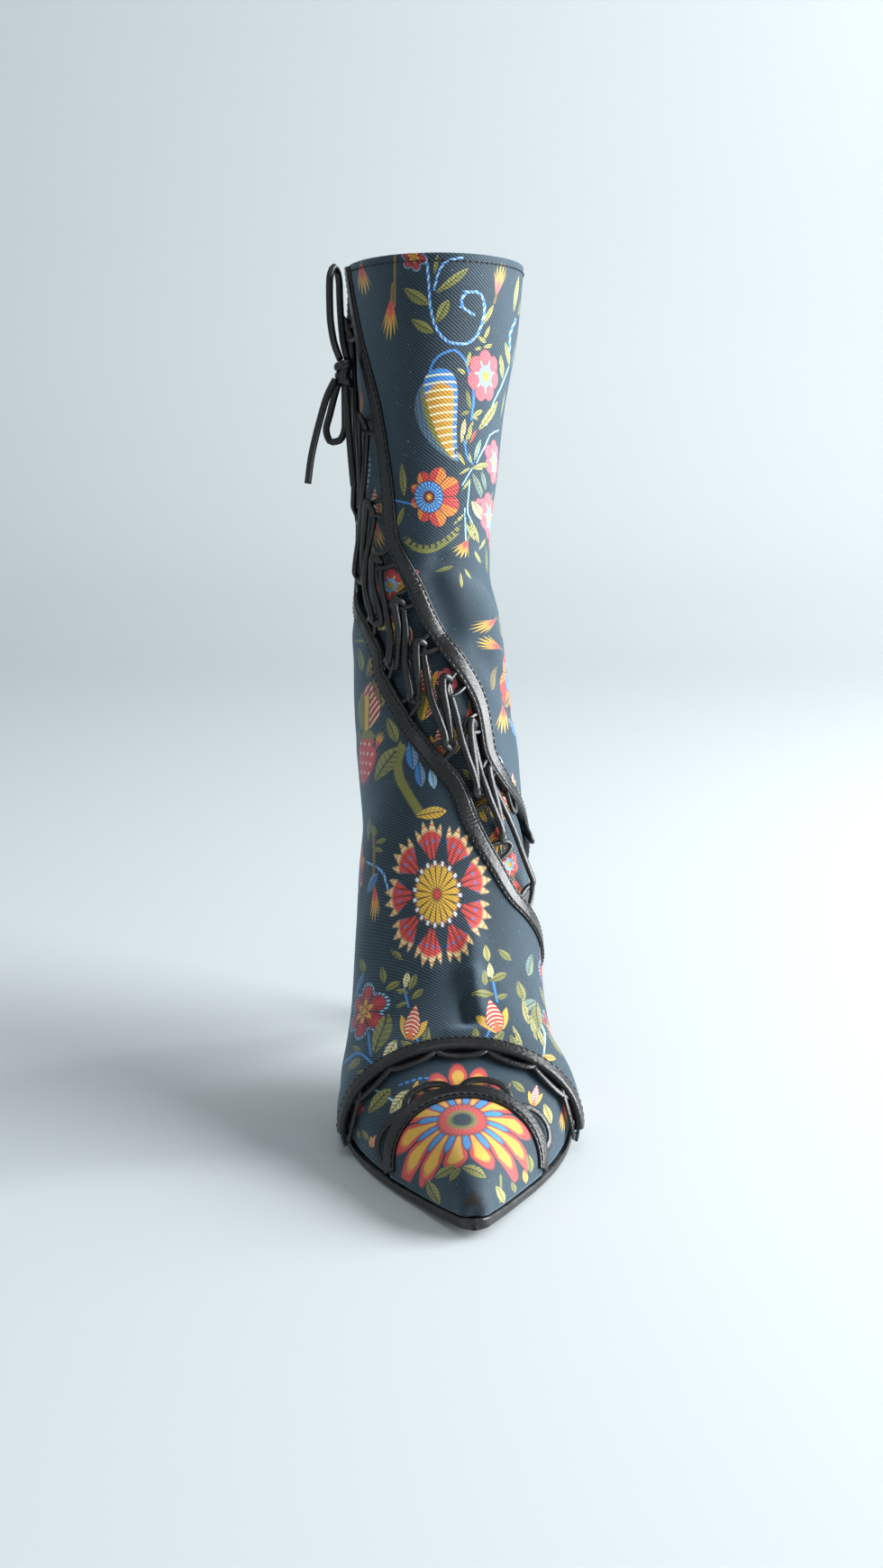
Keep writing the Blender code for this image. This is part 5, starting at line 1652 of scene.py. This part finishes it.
# %% Outsole and heel
SOLE_THICKNESS = 3.7
SOLE_MARGIN = (1.5, 0.6)
SOLE_DROP = (0.3, 0.8)
SOLE_SQUARENESS = 0.32
BALL, SEAT = 8, 13
SOLE_END = 16
HEEL_CENTRE_X = -3.0
HEEL_CLEAR = 0.3
HEEL_SQUARENESS = 0.85
HEEL_RINGS = np.array(
    [
        (6.3, 0.0, 98.5, 6.6, 6.2), (20.0, 0.0, 99.2, 7.4, 6.9), (40.0, 0.0, 99.6, 9.0, 8.4),
        (58.0, 0.0, 99.0, 11.6, 11.6), (72.0, 0.45, 97.2, 14.6, 16.2), (82.0, 0.85, 95.2, 17.2, 20.6),
    ]
)
HEEL_TOP = (1.0, 94.2, 18.2, 22.2)
SOLE_TIP_ROWS, SOLE_ROWS, SOLE_SIDES = 24, 190, 44
HEEL_LEVELS, HEEL_SIDES = 60, 64


def squared(values, power):
    """Sines or cosines raised to a power, signs kept; a power below 1 squares an oval."""
    return np.sign(values) * np.abs(values) ** power


tip_rows, rest_rows = np.linspace(0, 1, SOLE_TIP_ROWS) ** 2, np.linspace(1, SOLE_END, SOLE_ROWS)[1:]
sole_rows = np.concatenate([tip_rows, rest_rows])
width = np.clip(smooth(TABLE["edge_half_width"], sole_rows), 0, None)
sole_y, sole_z = smooth(TABLE["edge_y"], sole_rows), smooth(TABLE["edge_z"], sole_rows)
step_w, step_y = np.gradient(width), np.gradient(sole_y)
step_y[[0, -1]] = 0.0
share = np.clip((sole_y - TABLE["edge_y"][BALL]) / (TABLE["edge_y"][SEAT] - TABLE["edge_y"][BALL]), 0, 1)
margin = (SOLE_MARGIN[0] + (SOLE_MARGIN[1] - SOLE_MARGIN[0]) * share) / np.hypot(step_w, step_y)
sole_width = np.maximum(width + margin * step_y, 0)
sole_y = sole_y - margin * step_w
sole_z = sole_z - SOLE_DROP[0] - (SOLE_DROP[1] - SOLE_DROP[0]) * share
run_y, run_z = np.gradient(sole_y), np.gradient(sole_z)
run = np.hypot(run_y, run_z)
down_y, down_z = run_z / run, -run_y / run
angle = np.linspace(0, FULL_TURN, SOLE_SIDES, endpoint=False)
side, deep = squared(np.cos(angle), SOLE_SQUARENESS), squared(np.sin(angle), SOLE_SQUARENESS)
depth = SOLE_THICKNESS * (0.5 - 0.5 * deep)
sole_points = np.stack(
    [
        smooth(TABLE["centre_x"], sole_rows)[:, None] + sole_width[:, None] * side,
        sole_y[:, None] + down_y[:, None] * depth,
        sole_z[:, None] + down_z[:, None] * depth,
    ],
    axis=-1,
)
make_tubes("sole_board", sole_points, sole_leather, ["outsole"])


def seat_height(y):
    """The height of the sole's underside at y."""
    under_y, under_z = sole_y + down_y * SOLE_THICKNESS, sole_z + down_z * SOLE_THICKNESS
    return np.interp(y, under_y, under_z)


rings = HEEL_RINGS - np.array([0.0, 0.0, FRAME_Y, 0.0, 0.0])
top_y = HEEL_TOP[1] - FRAME_Y
top_row = (float(seat_height(top_y)) - HEEL_CLEAR, HEEL_TOP[0], top_y, *HEEL_TOP[2:])
rings = np.concatenate([rings, [top_row]])
levels = np.linspace(0, len(rings) - 1, HEEL_LEVELS)
height, follow, ring_y, half_length, half_width = (smooth(rings[:, k], levels)[:, None] for k in range(5))
angle = np.linspace(0, FULL_TURN, HEEL_SIDES, endpoint=False)
heel_x = HEEL_CENTRE_X + half_width * squared(np.cos(angle), HEEL_SQUARENESS)
heel_y = ring_y + half_length * squared(np.sin(angle), HEEL_SQUARENESS)
heel_z = height + follow * (seat_height(heel_y) - seat_height(ring_y))
heel_points = np.stack([heel_x, heel_y, heel_z], axis=-1)
make_tubes("heel_block", heel_points, heel_leather, ["heel"])
for node, material in (("insole", insole_board), ("heel_tip", heel_rubber)):
    body = bpy.data.objects[node]
    body.data.materials.clear()
    body.data.materials.append(material)
print("sole", round(2 * float(sole_width.max()), 1), "mm wide")
print("heel", round(float(heel_z.max()), 1), "mm high")

# %% [markdown]
# ## Stitches
# Sewn lines could be drawn as dashes, but real stitches catch the light, so each is a small arched
# thread. All of them are worked out at once along their lines and merged into one mesh.

# %% Stitch lines
STITCH_PITCH, STITCH_LENGTH = 2.5, 1.75
THREAD_RADIUS = 0.26
THREAD_ARCH, THREAD_SINK = 0.34, 0.22
GROOVE_SINK = 0.3
STITCH_SIDE = 0.99
COLLAR_POINTS, COLLAR_DROP, COLLAR_PROUD, GAP_TEST_DROP = 400, 0.07, 0.1, 0.3


def stitch_tubes(line, normals):
    """Arched threads along a line: five points each, high in the middle and sunk at both ends."""
    travelled = distance_along(line)
    starts = np.arange(STITCH_PITCH / 2, travelled[-1] - STITCH_PITCH, STITCH_PITCH)
    part = np.linspace(0, 1, 5)
    at = starts[:, None] + STITCH_LENGTH * part
    rise = read_between(at, travelled, normals)
    arch = THREAD_ARCH * np.sin(math.pi * part) - THREAD_SINK
    paths = read_between(at, travelled, line) + rise * arch[:, None]
    return carry(paths, rise, oval(6, THREAD_RADIUS, THREAD_RADIUS))


def band_stitches(name, amount, lift):
    """Stitches beside an edge: its line moved across by amount and lifted off the cloth."""
    u, t, _, across, ground = edges[name]
    new_u, new_t = beside(u, t, across * amount)
    new_t = np.clip(new_t, -STITCH_SIDE, STITCH_SIDE)
    return stitch_tubes(on_boot(new_u, new_t, ground(new_u, new_t) + lift), outward(new_u, new_t))


groove_lift = BAND_BASE + BAND_THICKNESS - GROOVE_SINK
threads = [
    band_stitches(name, amount, groove_lift)
    for name in edges
    for amount in (FACING_GROOVES if name in WRINKLED else CROSS_GROOVES)
]
round_collar = np.linspace(-1, 1, COLLAR_POINTS)
clear = ~in_gap(np.full(COLLAR_POINTS, COLLAR - GAP_TEST_DROP), round_collar)
before, after = int(np.argmin(clear)), COLLAR_POINTS - int(np.argmin(clear[::-1]))
for t in (round_collar[:before], round_collar[after:]):
    u = np.full_like(t, COLLAR - COLLAR_DROP)
    lift = np.full_like(t, LEG_STEP + COLLAR_PROUD)
    threads.append(stitch_tubes(on_boot(u, t, lift), outward(u, t)))
threads = np.concatenate(threads)
make_tubes("stitches", threads, thread, welded=False)
print(len(threads), "stitches")

# %% [markdown]
# ## Floor and light
# The boot stands on a pale blue-grey sweep that curves up into a wall. A plain grey world alone would
# light it flatly, so a broad, nearly level lamp at the viewer's right does most of the work and leaves
# a soft shadow at the left. Weak lamps above and at the left fill it, and two more wash the wall.

# %% Sweep, lamps and world
SWEEP_PROFILE = ((-2.6, 0.0), (1.3, 0.0), (1.75, 0.05), (2.05, 0.22), (2.2, 0.55), (2.25, 3.2))
SWEEP_ROWS, SWEEP_HALF = 90, 3.2
LAMPS = (
    ("key", (1.25, -0.15, 0.40), (0.0, 0.0, 0.16), 1.25, 62.0, (0.95, 0.98, 1.0)),
    ("top", (-0.1, -0.5, 1.5), (0.0, 0.0, 0.1), 0.6, 2.5, (0.95, 0.98, 1.0)),
    ("left fill", (-0.9, -0.8, 0.5), (0.0, 0.0, 0.15), 0.7, 1.2, (0.8, 0.92, 1.0)),
    ("wall wash", (1.9, 0.9, 1.6), (0.9, 2.2, 0.7), 0.8, 44.0, (0.97, 0.99, 1.0)),
    ("left wall wash", (-1.4, 0.9, 1.8), (-0.6, 2.2, 0.9), 0.8, 2.0, (0.97, 0.99, 1.0)),
)
WORLD_STRENGTH = 0.44
sweep_line = smooth_path(np.array([(0.0, y, z) for y, z in SWEEP_PROFILE]), SWEEP_ROWS)
sweep_grid = sweep_line[:, None, :] + np.array([[-SWEEP_HALF, 0, 0], [SWEEP_HALF, 0, 0]])
sweep_mesh = bpy.data.meshes.new("sweep")
sweep_mesh.from_pydata(sweep_grid.reshape(-1, 3).tolist(), [], grid_faces(SWEEP_ROWS, 2).tolist())
sweep_mesh.shade_smooth()
sweep_mesh.materials.append(plain_material("sweep paper", "c3c9cb", 0.9))
sweep = bpy.data.objects.new("sweep", sweep_mesh)
bpy.context.scene.collection.objects.link(sweep)


def lamp(name, place, aim, size, power, colour):
    """A round lamp turned to its aim: tipped by the angle from straight down, then swung round."""
    light = bpy.data.lights.new(name, "AREA")
    light.shape = "DISK"
    light.size = size
    light.energy = power
    light.color = colour
    holder = bpy.data.objects.new(name, light)
    bpy.context.scene.collection.objects.link(holder)
    toward = np.array(aim) - np.array(place)
    flat = math.hypot(toward[0], toward[1])
    holder.location = place
    holder.rotation_euler = (math.atan2(flat, -toward[2]), 0.0, math.atan2(-toward[0], toward[1]))


for row in LAMPS:
    lamp(*row)
world = bpy.data.worlds.new("studio")
world.use_nodes = True
world.node_tree.nodes["Background"].inputs["Color"].default_value = hue("e3eaee")
world.node_tree.nodes["Background"].inputs["Strength"].default_value = WORLD_STRENGTH
bpy.context.scene.world = world
bpy.context.scene.view_settings.view_transform = "Standard"
print(len(LAMPS), "lamps placed")
